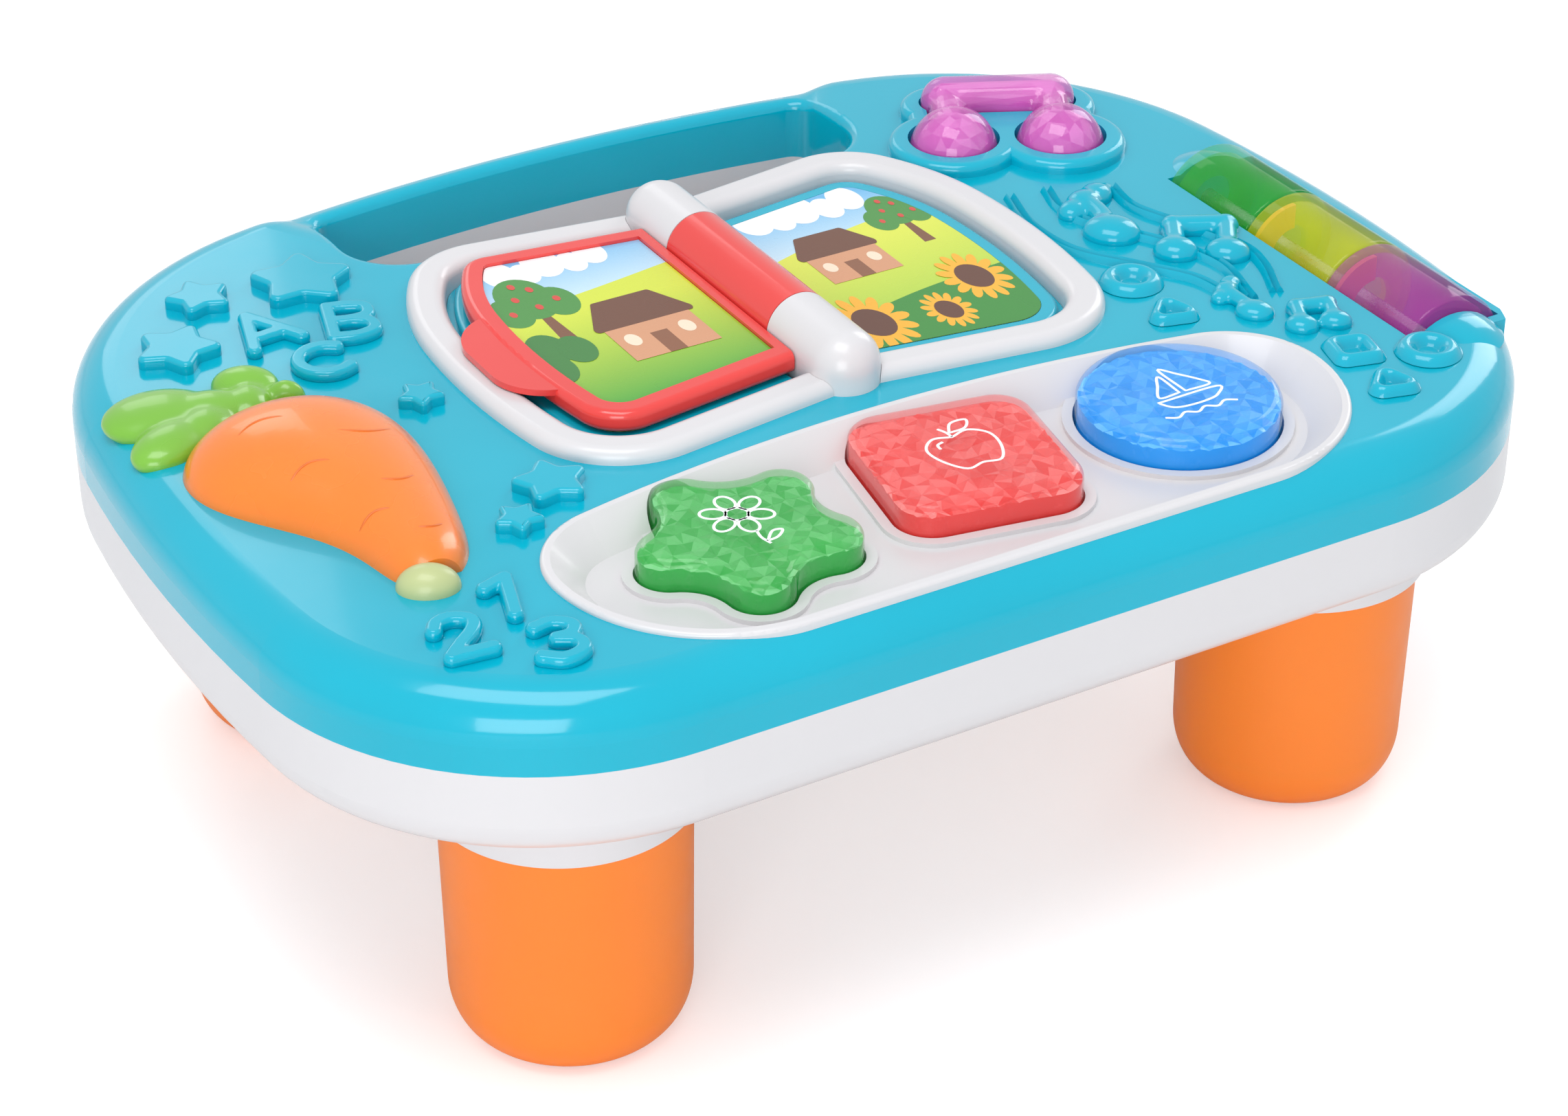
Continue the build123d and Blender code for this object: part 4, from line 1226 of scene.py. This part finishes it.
@dataclass
class Picture:
    """A printed card: shapes laid over each other, cut to the card's edge."""

    name: str
    nodes: tuple[str, ...]
    body: Body
    height: float
    edge: Loop
    layers: list[Layer]
    upwards: bool
    step: float = 0.008

    def mesh(self) -> Mesh:
        """Build the card and the shapes on it.

        Returns:
            The mesh.
        """
        xs, ys = [p[0] for p in self.edge], [p[1] for p in self.edge]
        left, near = min(xs), min(ys)
        width, depth = max(xs) - left, max(ys) - near
        way = 1 if self.upwards else -1
        work = bmesh.new()
        level = 0
        for number, layer in enumerate(self.layers):
            for loop in layer.loops:
                spots = [(left + x * width, near + y * depth) for x, y in loop]
                spots = spots if area(spots) > 0 else spots[::-1]
                kept = inside(spots, self.edge) if number else self.edge
                if len(kept) < 3:
                    continue
                z = self.height + way * level * self.step
                level += 1
                points = [Vector((x, y, z)) for x, y in kept]
                verts = [work.verts.new(p * MM) for p in points]
                for triple in tessellate_polygon([points]):
                    corners = [verts[i] for i in triple]
                    normal = (corners[1].co - corners[0].co).cross(corners[2].co - corners[0].co)
                    if normal.z * way < 0:
                        corners.reverse()
                    face = work.faces.new(corners)
                    face.material_index = number
        return to_mesh(work)

    def build(self) -> None:
        """Place the card."""
        finishes = [layer.finish for layer in self.layers]
        place(self.name, self.mesh(), finishes, self.body, self.nodes)


@dataclass
class PictureBook:
    """The book: a red framed page that turns on the spine, and printed cards on the page and the pads."""

    whole: tuple = ((-0.1, -0.1), (1.1, -0.1), (1.1, 1.1), (-0.1, 1.1))
    clouds: tuple = (
        (0.22, 0.93, 0.09),
        (0.34, 0.9, 0.07),
        (0.46, 0.94, 0.1),
        (0.6, 0.9, 0.07),
        (0.72, 0.93, 0.08),
    )
    crown: tuple = ((0, 0.78, 0.34), (-0.3, 0.62, 0.24), (0.3, 0.64, 0.24))
    fruit: tuple = ((-0.3, 0.6), (-0.12, 0.8), (0.05, 0.62), (0.14, 0.9), (0.32, 0.68), (-0.02, 1.0))
    fruit_size: float = 0.045
    panes: tuple = ((-0.32, 0.27, 0.085), (0.32, 0.27, 0.085))
    bushes: tuple = ((0.08, 0.42, 0.1), (0.2, 0.38, 0.09), (0.02, 0.3, 0.1))
    blooms: tuple = ((0.2, 0.2, 0.17), (0.55, 0.16, 0.11), (0.82, 0.3, 0.15))
    petals: int = 14
    petal_steps: int = 8
    petal_fullness: float = 0.7
    petal_share: float = 0.42
    valley_share: float = 0.62
    heart_share: float = 0.52
    horizon: float = 0.6
    hill_top: float = 0.7

    def sky(self, near: float, far: float) -> list[Layer]:
        """Make a sky with clouds.

        Args:
            near: The card's near edge along Y, in metres.
            far: The card's far edge.

        Returns:
            The layers.
        """
        pale = near + self.horizon * (far - near)
        blue = Printed(f"sky_{pale:.3f}", "DDF1F8", far_colour="6CB9E8", near=pale, far=far)
        clouds = [circle((x, y), size, steps=28) for x, y, size in self.clouds]
        return [Layer(blue, [list(self.whole)]), Layer(Printed("cloud_white", "FFFFFF"), clouds)]

    def hill(self, left: float, middle: float, right: float) -> Loop:
        """Trace a hill across the picture.

        Args:
            left: Its height at the left edge, as a share.
            middle: Its height in the middle.
            right: Its height at the right edge.

        Returns:
            The points.
        """
        crest = smooth_path([(-0.1, left, 0), (0.5, middle, 0), (1.1, right, 0)], steps=14)
        return [*self.whole[:2], *[(p.x, p.y) for p in reversed(crest)]]

    def slab(self, spot: Point, size: float, low: tuple, high: tuple) -> Loop:
        """Trace a shape with a level foot and a level top.

        Args:
            spot: The middle of what it belongs to.
            size: The size of what it belongs to.
            low: Left end, right end and height of its foot, as shares of the size.
            high: The same of its top.

        Returns:
            The points.
        """
        ends = ((low[0], low[2]), (low[1], low[2]), (high[1], high[2]), (high[0], high[2]))
        return [(spot[0] + x * size, spot[1] + y * size) for x, y in ends]

    def tree(self, x: float, y: float, size: float) -> list[Layer]:
        """Make a fruit tree.

        Args:
            x: Where its foot is, as a share of the width.
            y: Where its foot is, as a share of the height.
            size: Its height, as a share.

        Returns:
            The layers.
        """
        trunk = self.slab((x, y), size, low=(-0.1, 0.1, 0), high=(-0.04, 0.05, 0.6))
        crown = [circle((x + a * size, y + b * size), c * size, steps=30) for a, b, c in self.crown]
        bead = self.fruit_size * size
        fruit = [circle((x + a * size, y + b * size), bead, steps=16) for a, b in self.fruit]
        return [
            Layer(Printed("trunk_brown", "7A4A2A"), [trunk]),
            Layer(Printed("crown_green", "3F8F35"), crown),
            Layer(Printed("fruit_red", "D8402F"), fruit),
        ]

    def cottage(self, x: float, y: float, size: float) -> list[Layer]:
        """Make a little wooden cottage.

        Args:
            x: Its middle, as a share of the width.
            y: Its foot, as a share of the height.
            size: Its width, as a share.

        Returns:
            The layers.
        """
        wall = self.slab((x, y), size, low=(-0.5, 0.5, 0), high=(-0.5, 0.5, 0.5))
        roof = self.slab((x, y), size, low=(-0.62, 0.62, 0.46), high=(-0.34, 0.34, 0.86))
        door = self.slab((x, y), size, low=(-0.1, 0.1, 0), high=(-0.1, 0.1, 0.3))
        panes = [circle((x + a * size, y + b * size), c * size, steps=24) for a, b, c in self.panes]
        return [
            Layer(Printed("wall_sand", "D89A72"), [wall]),
            Layer(Printed("roof_brown", "6A3B22"), [rounded(roof, radius=0.02)]),
            Layer(Printed("door_brown", "8A5434"), [door]),
            Layer(Printed("pane_cream", "F9E3C8"), panes),
        ]

    def flowers(self) -> list[Layer]:
        """Make yellow flowers with brown hearts.

        Returns:
            The layers.
        """
        leaves, hearts = [], []
        count = self.petal_steps * self.petals
        for x, y, size in self.blooms:
            rim = []
            for i in range(count):
                angle = math.tau * i / count
                swell = abs(math.cos(angle * self.petals / 2)) ** self.petal_fullness
                reach = size * (self.valley_share + self.petal_share * swell)
                rim.append((x + reach * math.cos(angle), y + reach * math.sin(angle)))
            leaves.append(rim)
            hearts.append(circle((x, y), self.heart_share * size, steps=28))
        return [
            Layer(Printed("petal_yellow", "F7B51E"), leaves),
            Layer(Printed("heart_brown", "5E3018"), hearts),
        ]

    def meadow_scene(self, name: str, near: float, far: float) -> list[Layer]:
        """Compose the picture with a cottage on a meadow.

        Args:
            name: What its own inks are called after.
            near: The card's near edge along Y, in metres.
            far: The card's far edge.

        Returns:
            The layers.
        """
        top = near + self.horizon * (far - near)
        meadow = Printed(f"{name}_meadow", "3FA52C", far_colour="D6E23A", near=near, far=top)
        bushes = [circle((x, y), size, steps=26) for x, y, size in self.bushes]
        return [
            *self.sky(near, far),
            Layer(meadow, [self.hill(left=0.66, middle=0.7, right=0.76)]),
            *self.tree(x=0.22, y=0.42, size=0.42),
            Layer(Printed("bush_green", "2F7D2E"), bushes),
            *self.cottage(x=0.62, y=0.22, size=0.46),
        ]

    def flower_scene(self, name: str, near: float, far: float) -> list[Layer]:
        """Compose the picture with a cottage above large flowers.

        Args:
            name: What its own inks are called after.
            near: The card's near edge along Y, in metres.
            far: The card's far edge.

        Returns:
            The layers.
        """
        top = near + self.hill_top * (far - near)
        hill = Printed(f"{name}_hill", "8CC63A", far_colour="E2E84A", near=near, far=top)
        return [
            *self.sky(near, far),
            Layer(hill, [self.hill(left=0.62, middle=0.74, right=0.8)]),
            *self.tree(x=0.84, y=0.56, size=0.3),
            *self.cottage(x=0.42, y=0.46, size=0.36),
            Layer(Printed("grass_dark", "2C8A2A"), [self.hill(left=0.2, middle=0.3, right=0.34)]),
            *self.flowers(),
        ]

    def build(self) -> None:
        """Dress the page and place the cards."""
        dress(Palette.RED, "page_frame")
        sheets = (
            ("page_print_top", "page_cards", Body.PAGE, True, self.meadow_scene),
            ("page_print_back", "page_cards", Body.PAGE, False, self.flower_scene),
            ("left_print", "left_picture", Body.TABLE, True, self.flower_scene),
            ("right_print", "right_picture", Body.TABLE, True, self.flower_scene),
        )
        for name, source, body, upwards, scene in sheets:
            low, high = node_box(source)
            height = high.z if upwards else low.z
            edge = level_loop(source, height)
            near, far = min(p[1] for p in edge) * MM, max(p[1] for p in edge) * MM
            nodes = (source,) if upwards else ()
            Picture(name, nodes, body, height, edge, scene(name, near, far), upwards).build()


@dataclass
class PushButton:
    """A clear cap with a faceted plate inside and a white line drawing on top."""

    name: str
    body: Body
    cap: Finish
    core: Finish
    middle: Point
    drawing: list[list[tuple]]
    pitch: float = 4.4
    spare: int = 3
    sway_share: float = 0.12
    apex_share: float = 0.2
    facet_rise: float = 1.0
    facet_change: float = 0.25
    facet_top: float = 129.9
    plate_low: float = 118.4
    overrun: float = 1.0
    spread: float = 1.065
    line_half: float = 0.42
    line_top_share: float = 0.8
    line_rise: float = 0.07
    line_sink: float = 0.02

    def pyramids(self, low: Vector, high: Vector) -> bmesh.types.BMesh:
        """Build a field of low pyramids over the light guide.

        Args:
            low: The light guide's lowest corner.
            high: Its highest corner.

        Returns:
            The worked mesh, open below.
        """
        work = bmesh.new()
        count = int((high.x - low.x) / self.pitch) + self.spare
        start = Vector((low.x - self.pitch, low.y - self.pitch, 0))
        corners = {}
        for i in range(count + 1):
            for j in range(count + 1):
                spot = start + Vector((i, j, 0)) * self.pitch
                sway = Vector((math.sin(5 * i + 3 * j), math.cos(4 * i - 7 * j), 0)) * self.pitch
                change = self.facet_change * math.sin(3 * i + 5 * j)
                spot += sway * self.sway_share
                spot.z = self.facet_top - self.facet_rise * (1 - self.facet_change + change)
                corners[i, j] = work.verts.new(spot * MM)
        for i in range(count):
            for j in range(count):
                ring = [corners[i, j], corners[i + 1, j], corners[i + 1, j + 1], corners[i, j + 1]]
                x = i + 0.5 + self.apex_share * math.sin(i * 7 + j)
                y = j + 0.5 + self.apex_share * math.cos(j * 5 + i)
                apex = start + Vector((x, y, 0)) * self.pitch
                top = work.verts.new((apex + Vector((0, 0, self.facet_top))) * MM)
                for a, b in zip(ring, ring[1:] + ring[:1]):
                    work.faces.new((a, b, top))
        return work

    def facets(self) -> Mesh:
        """Build the faceted plate inside the cap.

        Returns:
            The mesh.
        """
        low, high = node_box(f"{self.name}_light_guide")
        edge = level_loop(f"{self.name}_light_guide", high.z)
        work = self.pyramids(low, high)
        rim = [e for e in work.edges if e.is_boundary]
        for part in bmesh.ops.extrude_edge_only(work, edges=rim)["geom"]:
            if isinstance(part, bmesh.types.BMVert):
                part.co.z = self.plate_low * MM
        bmesh.ops.holes_fill(work, edges=[e for e in work.edges if e.is_boundary], sides=0)
        bmesh.ops.recalc_face_normals(work, faces=work.faces)
        tool = plate(edge, self.plate_low - self.overrun, self.facet_top + self.overrun, bevel=0.01, steps=0)
        block = common(to_mesh(work), tool)
        middle = Matrix.Translation((low + high) / 2 * MM)
        block.transform(middle @ Matrix.Diagonal((self.spread, self.spread, 1, 1)) @ middle.inverted())
        return block

    def lines(self) -> Mesh:
        """Build the line drawing as thin printed strokes on the cap.

        Returns:
            The mesh.
        """
        top = node_box(f"{self.name}_button")[1].z
        side = [(self.line_half, -self.line_sink), (self.line_half * self.line_top_share, self.line_rise)]
        profile = [*[(-x, z) for x, z in side], *side[::-1]]
        meshes = []
        for stroke in self.drawing:
            closed = stroke[0] == stroke[-1]
            path = smooth_path([(self.middle[0] + x, self.middle[1] + y, top) for x, y in stroke], steps=6)
            meshes.append(ribbon(path[:-1] if closed else path, profile, closed))
        return joined(meshes)

    def build(self) -> None:
        """Dress the cap and place the plate and the drawing."""
        dress(self.cap, f"{self.name}_button")
        guide = f"{self.name}_light_guide"
        facets = self.facets()
        place(f"{self.name}_facets", facets, self.core, self.body, (guide,), flat=True)
        place(f"{self.name}_drawing", self.lines(), Palette.INK, self.body)


class Drawings:
    """Line drawings for the buttons, as strokes in millimetres from a button's middle."""

    @staticmethod
    def flower() -> list[list[tuple]]:
        """Draw a daisy with a stem and a leaf.

        Returns:
            The strokes.
        """
        height, reach, petals = 4, 6.2, 6
        heart = circle((0, height), radius=3.0, steps=14)
        strokes = [[*heart, heart[0]]]
        for i in range(petals):
            turn = 360 / petals * (i + 0.5)
            angle = math.radians(turn)
            spot = (reach * math.cos(angle), height + reach * math.sin(angle))
            petal = circle(spot, radius=3.4, steps=14, squash=0.72, turn=turn)
            strokes.append([*petal, petal[0]])
        strokes.append([(0.2, -5.6), (-0.3, -9.0), (0.4, -12.6)])
        strokes.append([(0.2, -11.2), (3.6, -7.6), (6.2, -8.2), (3.6, -10.6), (0.2, -11.2)])
        return strokes

    @staticmethod
    def apple() -> list[list[tuple]]:
        """Draw an apple with a leaf.

        Returns:
            The strokes.
        """
        side = [(5.4, 7.6), (9.6, 3.4), (9.0, -3.4), (5.2, -9.6)]
        body = [(0, 6.2), *side, (0, -8.8), *[(-x, y) for x, y in reversed(side)], (0, 6.2)]
        leaf = [(0.4, 8.4), (3.4, 12.6), (8.0, 12.4), (5.6, 8.8), (0.4, 8.4)]
        return [body, [(0, 6.2), (-0.2, 9.0), (-1.2, 11.6)], leaf, [(-6.0, 2.2), (-5.6, 4.4), (-3.6, 5.2)]]

    @staticmethod
    def boat() -> list[list[tuple]]:
        """Draw a sailing boat on a wave.

        Returns:
            The strokes.
        """
        hull = [(-9.6, -3.6), (9.6, -3.6), (7.2, -7.4), (3.0, -8.6), (-3.0, -8.6), (-7.2, -7.4), (-9.6, -3.6)]
        sail = [(0.8, -1.6), (0.8, 11.4), (4.2, 7.0), (7.6, 1.8), (8.6, -1.6), (0.8, -1.6)]
        jib = [(-1.2, -1.6), (-1.2, 8.2), (-4.4, 4.0), (-7.6, -1.6), (-1.2, -1.6)]
        wave = [(-12.4, -11.0), (-9.2, -12.6), (-6.0, -11.0), (-2.8, -12.6)]
        wave += [(0.4, -11.0), (3.6, -12.6), (6.8, -11.0), (10.0, -12.6)]
        return [hull, sail, jib, wave]


@dataclass
class MusicNote:
    """The clear music note, with facets under its skin."""

    left: Point = (102.3, 67.9)
    right: Point = (131.3, 53.6)
    reach: float = 25.0
    ball_radius: float = 13.4
    stem_radius: float = 5.8
    beam_radius: float = 7.6
    ball_height: float = 129.6
    stem_height: float = 132.0
    beam_height: float = 134.2
    skin_voxel: float = 0.8
    skin_rounds: int = 6
    core_inset: float = 2.0
    core_voxel: float = 1.6
    core_rounds: int = 4
    core_kept: float = 0.12

    def parts(self, inset: float) -> list[Mesh]:
        """Build the two balls, the stems and the beam.

        Args:
            inset: How far their skin lies inside.

        Returns:
            The meshes.
        """
        left, right = Vector((*self.left, 0)), Vector((*self.right, 0))
        along = (right - left).normalized()
        way = Vector((-along.y, along.x, 0))
        ends = [left + way * self.reach, right + way * self.reach]
        rise, crest = Vector((0, 0, self.stem_height)), Vector((0, 0, self.beam_height))
        foot, beam = self.ball_radius - inset, self.beam_radius - inset
        parts = [ball((*middle.xy, self.ball_height), (foot,) * 3) for middle in (left, right)]
        for start, end in zip((left, right), ends):
            parts.append(tube([start + rise, end + crest], self.stem_radius - inset, steps=8))
        parts.append(tube([ends[0] + crest, ends[1] + crest], beam, steps=8))
        parts += [ball((*end.xy, self.beam_height), (beam,) * 3) for end in ends]
        return parts

    def build(self) -> None:
        """Place the clear skin and the facets."""
        skin = melted(self.parts(0.0), self.skin_voxel, self.skin_rounds)
        place("note_skin", skin, Palette.PINK, Body.NOTE, ("note_button",))
        core = melted(self.parts(self.core_inset), self.core_voxel, self.core_rounds)
        core = modified(core, [("DECIMATE", {"ratio": self.core_kept})])
        guide = ("note_light_guide",)
        place("note_facets", core, Palette.PINK_CORE, Body.NOTE, guide, flat=True)


@dataclass
class SpinningRoller:
    """Three clear hollow drums side by side on an axle, with discs inside."""

    x: float = 161.9
    z: float = 120.1
    wall: float = 2.2
    edge: float = 1.2
    edge_steps: int = 4
    hole_radius: float = 7.6
    steps: int = 72

    def turned_mesh(self, profile: Loop) -> Mesh:
        """Turn a closed profile about the roller's axis.

        Args:
            profile: The profile's points, as place along Y and radius.

        Returns:
            The mesh, in metres.
        """
        work = bmesh.new()
        rings = []
        for i in range(self.steps):
            angle = math.radians(360 * i / self.steps)
            cosine, sine = math.cos(angle), math.sin(angle)
            ring = [Vector((self.x + r * cosine, y, self.z + r * sine)) * MM for y, r in profile]
            rings.append([work.verts.new(p) for p in ring])
        bridge(work, rings, around=True, onward=True)
        bmesh.ops.recalc_face_normals(work, faces=work.faces)
        return to_mesh(work)

    def drum_profile(self, low: float, high: float, radius: float) -> Loop:
        """Trace half a drum's section: rounded outside, hollow inside.

        Args:
            low: Its near end along Y.
            high: Its far end.
            radius: Its outer radius.

        Returns:
            The points.
        """
        corner = []
        for i in range(self.edge_steps + 1):
            angle = math.radians(90 * i / self.edge_steps)
            corner.append((self.edge * (1 - math.sin(angle)), self.edge * (1 - math.cos(angle))))
        outer = [(high - a, radius - b) for a, b in reversed(corner)]
        outer += [(low + a, radius - b) for a, b in corner]
        inner = [(low, self.hole_radius), (low + self.wall, self.hole_radius)]
        inner += [(low + self.wall, radius - self.wall), (high - self.wall, radius - self.wall)]
        inner += [(high - self.wall, self.hole_radius), (high, self.hole_radius)]
        return outer[::-1] + inner[::-1]

    def build(self) -> None:
        """Place the drums and dress the discs."""
        drums = (
            ("front", Palette.ROLLER_PURPLE, "purple_clear"),
            ("middle", Palette.ROLLER_YELLOW, "yellow_clear"),
            ("rear", Palette.ROLLER_GREEN, "green_roller_clear"),
        )
        for name, finish, slot in drums:
            low, high = node_box(f"roller_{name}")
            mesh = self.turned_mesh(self.drum_profile(low.y, high.y, (high.z - low.z) / 2))
            place(f"drum_{name}", mesh, finish, Body.ROLLER, (f"roller_{name}",))
        dress(Palette.DISC_ORANGE, "roller_discs")


@dataclass
class Carrot:
    """The carrot ornament: a plain root with growth creases drawn as darker cords of painted shade, lobed
    leaves and a pale tip.
    """

    deck: float = 129.7
    growth: tuple = (1.02, 1.0, 1.12)
    shift: tuple = (0.6, 4.0, 0.0)
    crease_radius: float = 0.42
    crease_steps: int = 16
    dive_share: float = 0.35
    end_dive_share: float = 0.9
    above: float = 200.0
    creases: tuple = (
        (-162.0, -148.0, -4.0, 2.6),
        (-140.0, -124.0, -16.0, -2.8),
        (-158.0, -146.0, -28.0, 2.2),
        (-139.0, -129.0, -40.0, -2.0),
        (-150.0, -141.0, -52.0, 1.6),
        (-139.0, -132.0, -62.0, -1.2),
    )
    lobes: tuple = (
        (-168.0, 35.4, 16.0, 12.4, 172),
        (-155.0, 31.0, 11.5, 8.5, 160),
        (-171.5, 19.4, 13.0, 8.6, 25),
        (-160.0, 23.0, 10.0, 8.0, 40),
        (-141.6, 39.6, 9.6, 7.4, 150),
        (-145.0, 29.0, 9.0, 6.0, 70),
        (-134.5, 28.4, 5.6, 3.8, 150),
    )
    leaf_lift: float = 0.4
    leaf_rise: float = 5.4
    leaf_voxel: float = 0.8
    leaf_rounds: int = 24
    tip_middle: Point = (-143.3, -76.6)
    tip_lift: float = 0.2
    tip_size: tuple = (8.2, 6.2, 6.0)
    tip_turn: float = -25

    def root_mesh(self) -> Mesh:
        """Build the root: the solid's form, puffed up a little.

        Returns:
            The mesh.
        """
        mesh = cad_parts["carrot_body"].data.copy()
        mesh.materials.clear()
        low, high = node_box("carrot_body")
        base = Vector(((low.x + high.x) / 2, (low.y + high.y) / 2, self.deck)) * MM
        grown = Matrix.Diagonal((*self.growth, 1)) @ Matrix.Translation(-base)
        mesh.transform(Matrix.Translation(base + Vector(self.shift) * MM) @ grown)
        return mesh

    def crease_mesh(self, root: Mesh) -> Mesh:
        """Build the creases as thin cords that follow the root's skin; their darker orange is painted shade.

        Args:
            root: The root's mesh.

        Returns:
            The mesh of all creases.
        """
        work = bmesh.new()
        work.from_mesh(root)
        tree = BVHTree.FromBMesh(work)
        cords = []
        for left, right, along, sag in self.creases:
            path = []
            for step in range(self.crease_steps + 1):
                t = step / self.crease_steps
                x, y = left + (right - left) * t, along + sag * math.sin(math.pi * t)
                hit = tree.ray_cast(Vector((x, y, self.above)) * MM, Vector((0, 0, -1)))[0]
                if hit:
                    share = self.dive_share + self.end_dive_share * abs(2 * t - 1) ** 3
                    path.append(hit / MM - Vector((0, 0, self.crease_radius * share)))
            cords.append(tube(path, self.crease_radius))
        work.free()
        return joined(cords)

    def leaf_mesh(self) -> Mesh:
        """Build the lobed leaves.

        Returns:
            The mesh.
        """
        parts = [
            ball((x, y, self.deck + self.leaf_lift), (length, width, self.leaf_rise), turn)
            for x, y, length, width, turn in self.lobes
        ]
        return melted(parts, self.leaf_voxel, self.leaf_rounds)

    def build(self) -> None:
        """Place the root, the creases, the leaves and the tip."""
        root = self.root_mesh()
        creases = self.crease_mesh(root)
        tip = ball((*self.tip_middle, self.deck + self.tip_lift), self.tip_size, self.tip_turn)
        place("carrot_root", root, Palette.CARROT, Body.TABLE, ("carrot_body",))
        # The crease cords are darker orange: painted shade.
        place("carrot_creases", creases, Palette.PAINTED_CREASE_SHADE, Body.TABLE)
        place("leaf_lobes", self.leaf_mesh(), Palette.LEAF, Body.TABLE, ("carrot_leaves",))
        place("root_tip", tip, Palette.TIP, Body.TABLE, ("carrot_tip",))


@dataclass(frozen=True)
class Lamp:
    """A soft box that points at the table. Its power is in watts."""

    name: str
    spot: tuple[float, float, float]
    size: tuple[float, float]
    power: float


@dataclass
class Studio:
    """The floor, the lights and the photograph's camera. Places are in metres."""

    lens: float = 88.646
    sensor: float = 36.0
    spot: tuple = (-0.4759, -0.8177, 0.6355)
    pitch: float = 0.55194
    yaw: float = 0.53004
    floor_size: float = 8.0
    floor_drop: float = 0.0002
    floor_tones: tuple = ((0.86, 0.86, 0.86, 1), (0.88, 0.88, 0.88, 1))
    floor_cloud: float = 3.0
    floor_roughness: float = 0.6
    floor_lift: float = 0.35
    room_colour: tuple = (0.9, 0.95, 1.0, 1)
    room_light: float = 0.68
    target: tuple = (0, 0, 0.12)
    lamps: tuple[Lamp, ...] = (
        Lamp("overhead", (-0.35, -0.25, 1.5), (1.0, 0.7), 9),
        Lamp("back_right", (1.5, 0.7, 0.9), (0.6, 1.0), 6),
        Lamp("back_left", (0.25, 1.75, 1.05), (0.6, 0.7), 1.8),
        Lamp("front_fill", (-1.2, -1.6, 0.7), (1.0, 1.0), 14),
    )

    def aim(self, thing: bpy.types.Object, spot: tuple, way: Vector) -> None:
        """Set where a lamp or camera is and which way it looks.

        Args:
            thing: The lamp or camera.
            spot: Where it is.
            way: Which way it looks.
        """
        thing.location = spot
        thing.rotation_mode = "QUATERNION"
        thing.rotation_quaternion = way.to_track_quat("-Z", "Y")

    def camera(self) -> None:
        """Set the camera where the photograph was taken."""
        data = bpy.data.cameras.new("camera")
        data.lens = self.lens
        data.sensor_width = self.sensor
        level = math.cos(self.pitch)
        way = Vector((math.sin(self.yaw) * level, math.cos(self.yaw) * level, -math.sin(self.pitch)))
        camera = linked("camera", data)
        self.aim(camera, self.spot, way)
        bpy.context.scene.camera = camera

    def hang(self, lamp: Lamp) -> None:
        """Hang a soft box.

        Args:
            lamp: The soft box.
        """
        data = bpy.data.lights.new(lamp.name, "AREA")
        data.shape = "RECTANGLE"
        data.size, data.size_y = lamp.size
        data.energy = lamp.power
        self.aim(linked(lamp.name, data), lamp.spot, Vector(self.target) - Vector(lamp.spot))

    def world(self) -> None:
        """Light the room evenly and show it pale wherever it is seen or mirrored."""
        world = bpy.data.worlds.new("room")
        bpy.context.scene.world = world
        nodes = Nodes(world)
        path = nodes.add("LightPath").outputs
        seen = nodes.operate("MAXIMUM", path["Is Camera Ray"], path["Is Transmission Ray"])
        mirror = nodes.operate("MAXIMUM", seen, path["Is Glossy Ray"])
        room = nodes.add("Background", {"Color": self.room_colour, "Strength": self.room_light})
        white = nodes.add("Background", {"Strength": 1.0})
        mix = nodes.add("MixShader", {0: mirror, 1: room.outputs[0], 2: white.outputs[0]})
        nodes.close(mix, "OutputWorld")

    def floor(self) -> None:
        """Lay the pale floor."""
        work = bmesh.new()
        bmesh.ops.create_grid(work, x_segments=1, y_segments=1, size=self.floor_size / 2)
        mesh = to_mesh(work)
        nodes = Nodes(bpy.data.materials.new("floor_white"))
        path = nodes.add("LightPath").outputs["Is Camera Ray"]
        sockets = {
            "Base Color": nodes.mix(nodes.noise(nodes.place(), self.floor_cloud), *self.floor_tones),
            "Roughness": self.floor_roughness,
            "Emission Color": (1, 1, 1, 1),
            "Emission Strength": nodes.operate("MULTIPLY", path, self.floor_lift),
        }
        mesh.materials.append(nodes.close(nodes.add("BsdfPrincipled", sockets)))
        floor = linked("floor", mesh)
        floor.location.z = -self.floor_drop

    def build(self) -> None:
        """Set the scene up."""
        bpy.context.scene.view_settings.view_transform = "Standard"
        self.camera()
        self.world()
        self.floor()
        for lamp in self.lamps:
            self.hang(lamp)


def buttons() -> list[PushButton]:
    """Give the three push buttons.

    Returns:
        The buttons, from left to right.
    """
    return [
        PushButton("star", Body.STAR, Palette.GREEN, Palette.GREEN_CORE, (-62.7, -93.0), Drawings.flower()),
        PushButton("square", Body.SQUARE, Palette.RUBY, Palette.RUBY_CORE, (5.3, -89.7), Drawings.apple()),
        PushButton("round", Body.ROUND, Palette.BLUE, Palette.BLUE_CORE, (71.7, -92.4), Drawings.boat()),
    ]


def main() -> None:
    """Build the table's looks and the studio."""
    logging.basicConfig(level=logging.INFO, format="%(name)s: %(message)s")
    sections = [Shells(), Ornaments(), PictureBook(), *buttons(), MusicNote(), SpinningRoller(), Carrot()]
    for section in [*sections, Studio()]:
        section.build()
        LOG.info("built %s", type(section).__name__)


if __name__ == "__main__":
    main()
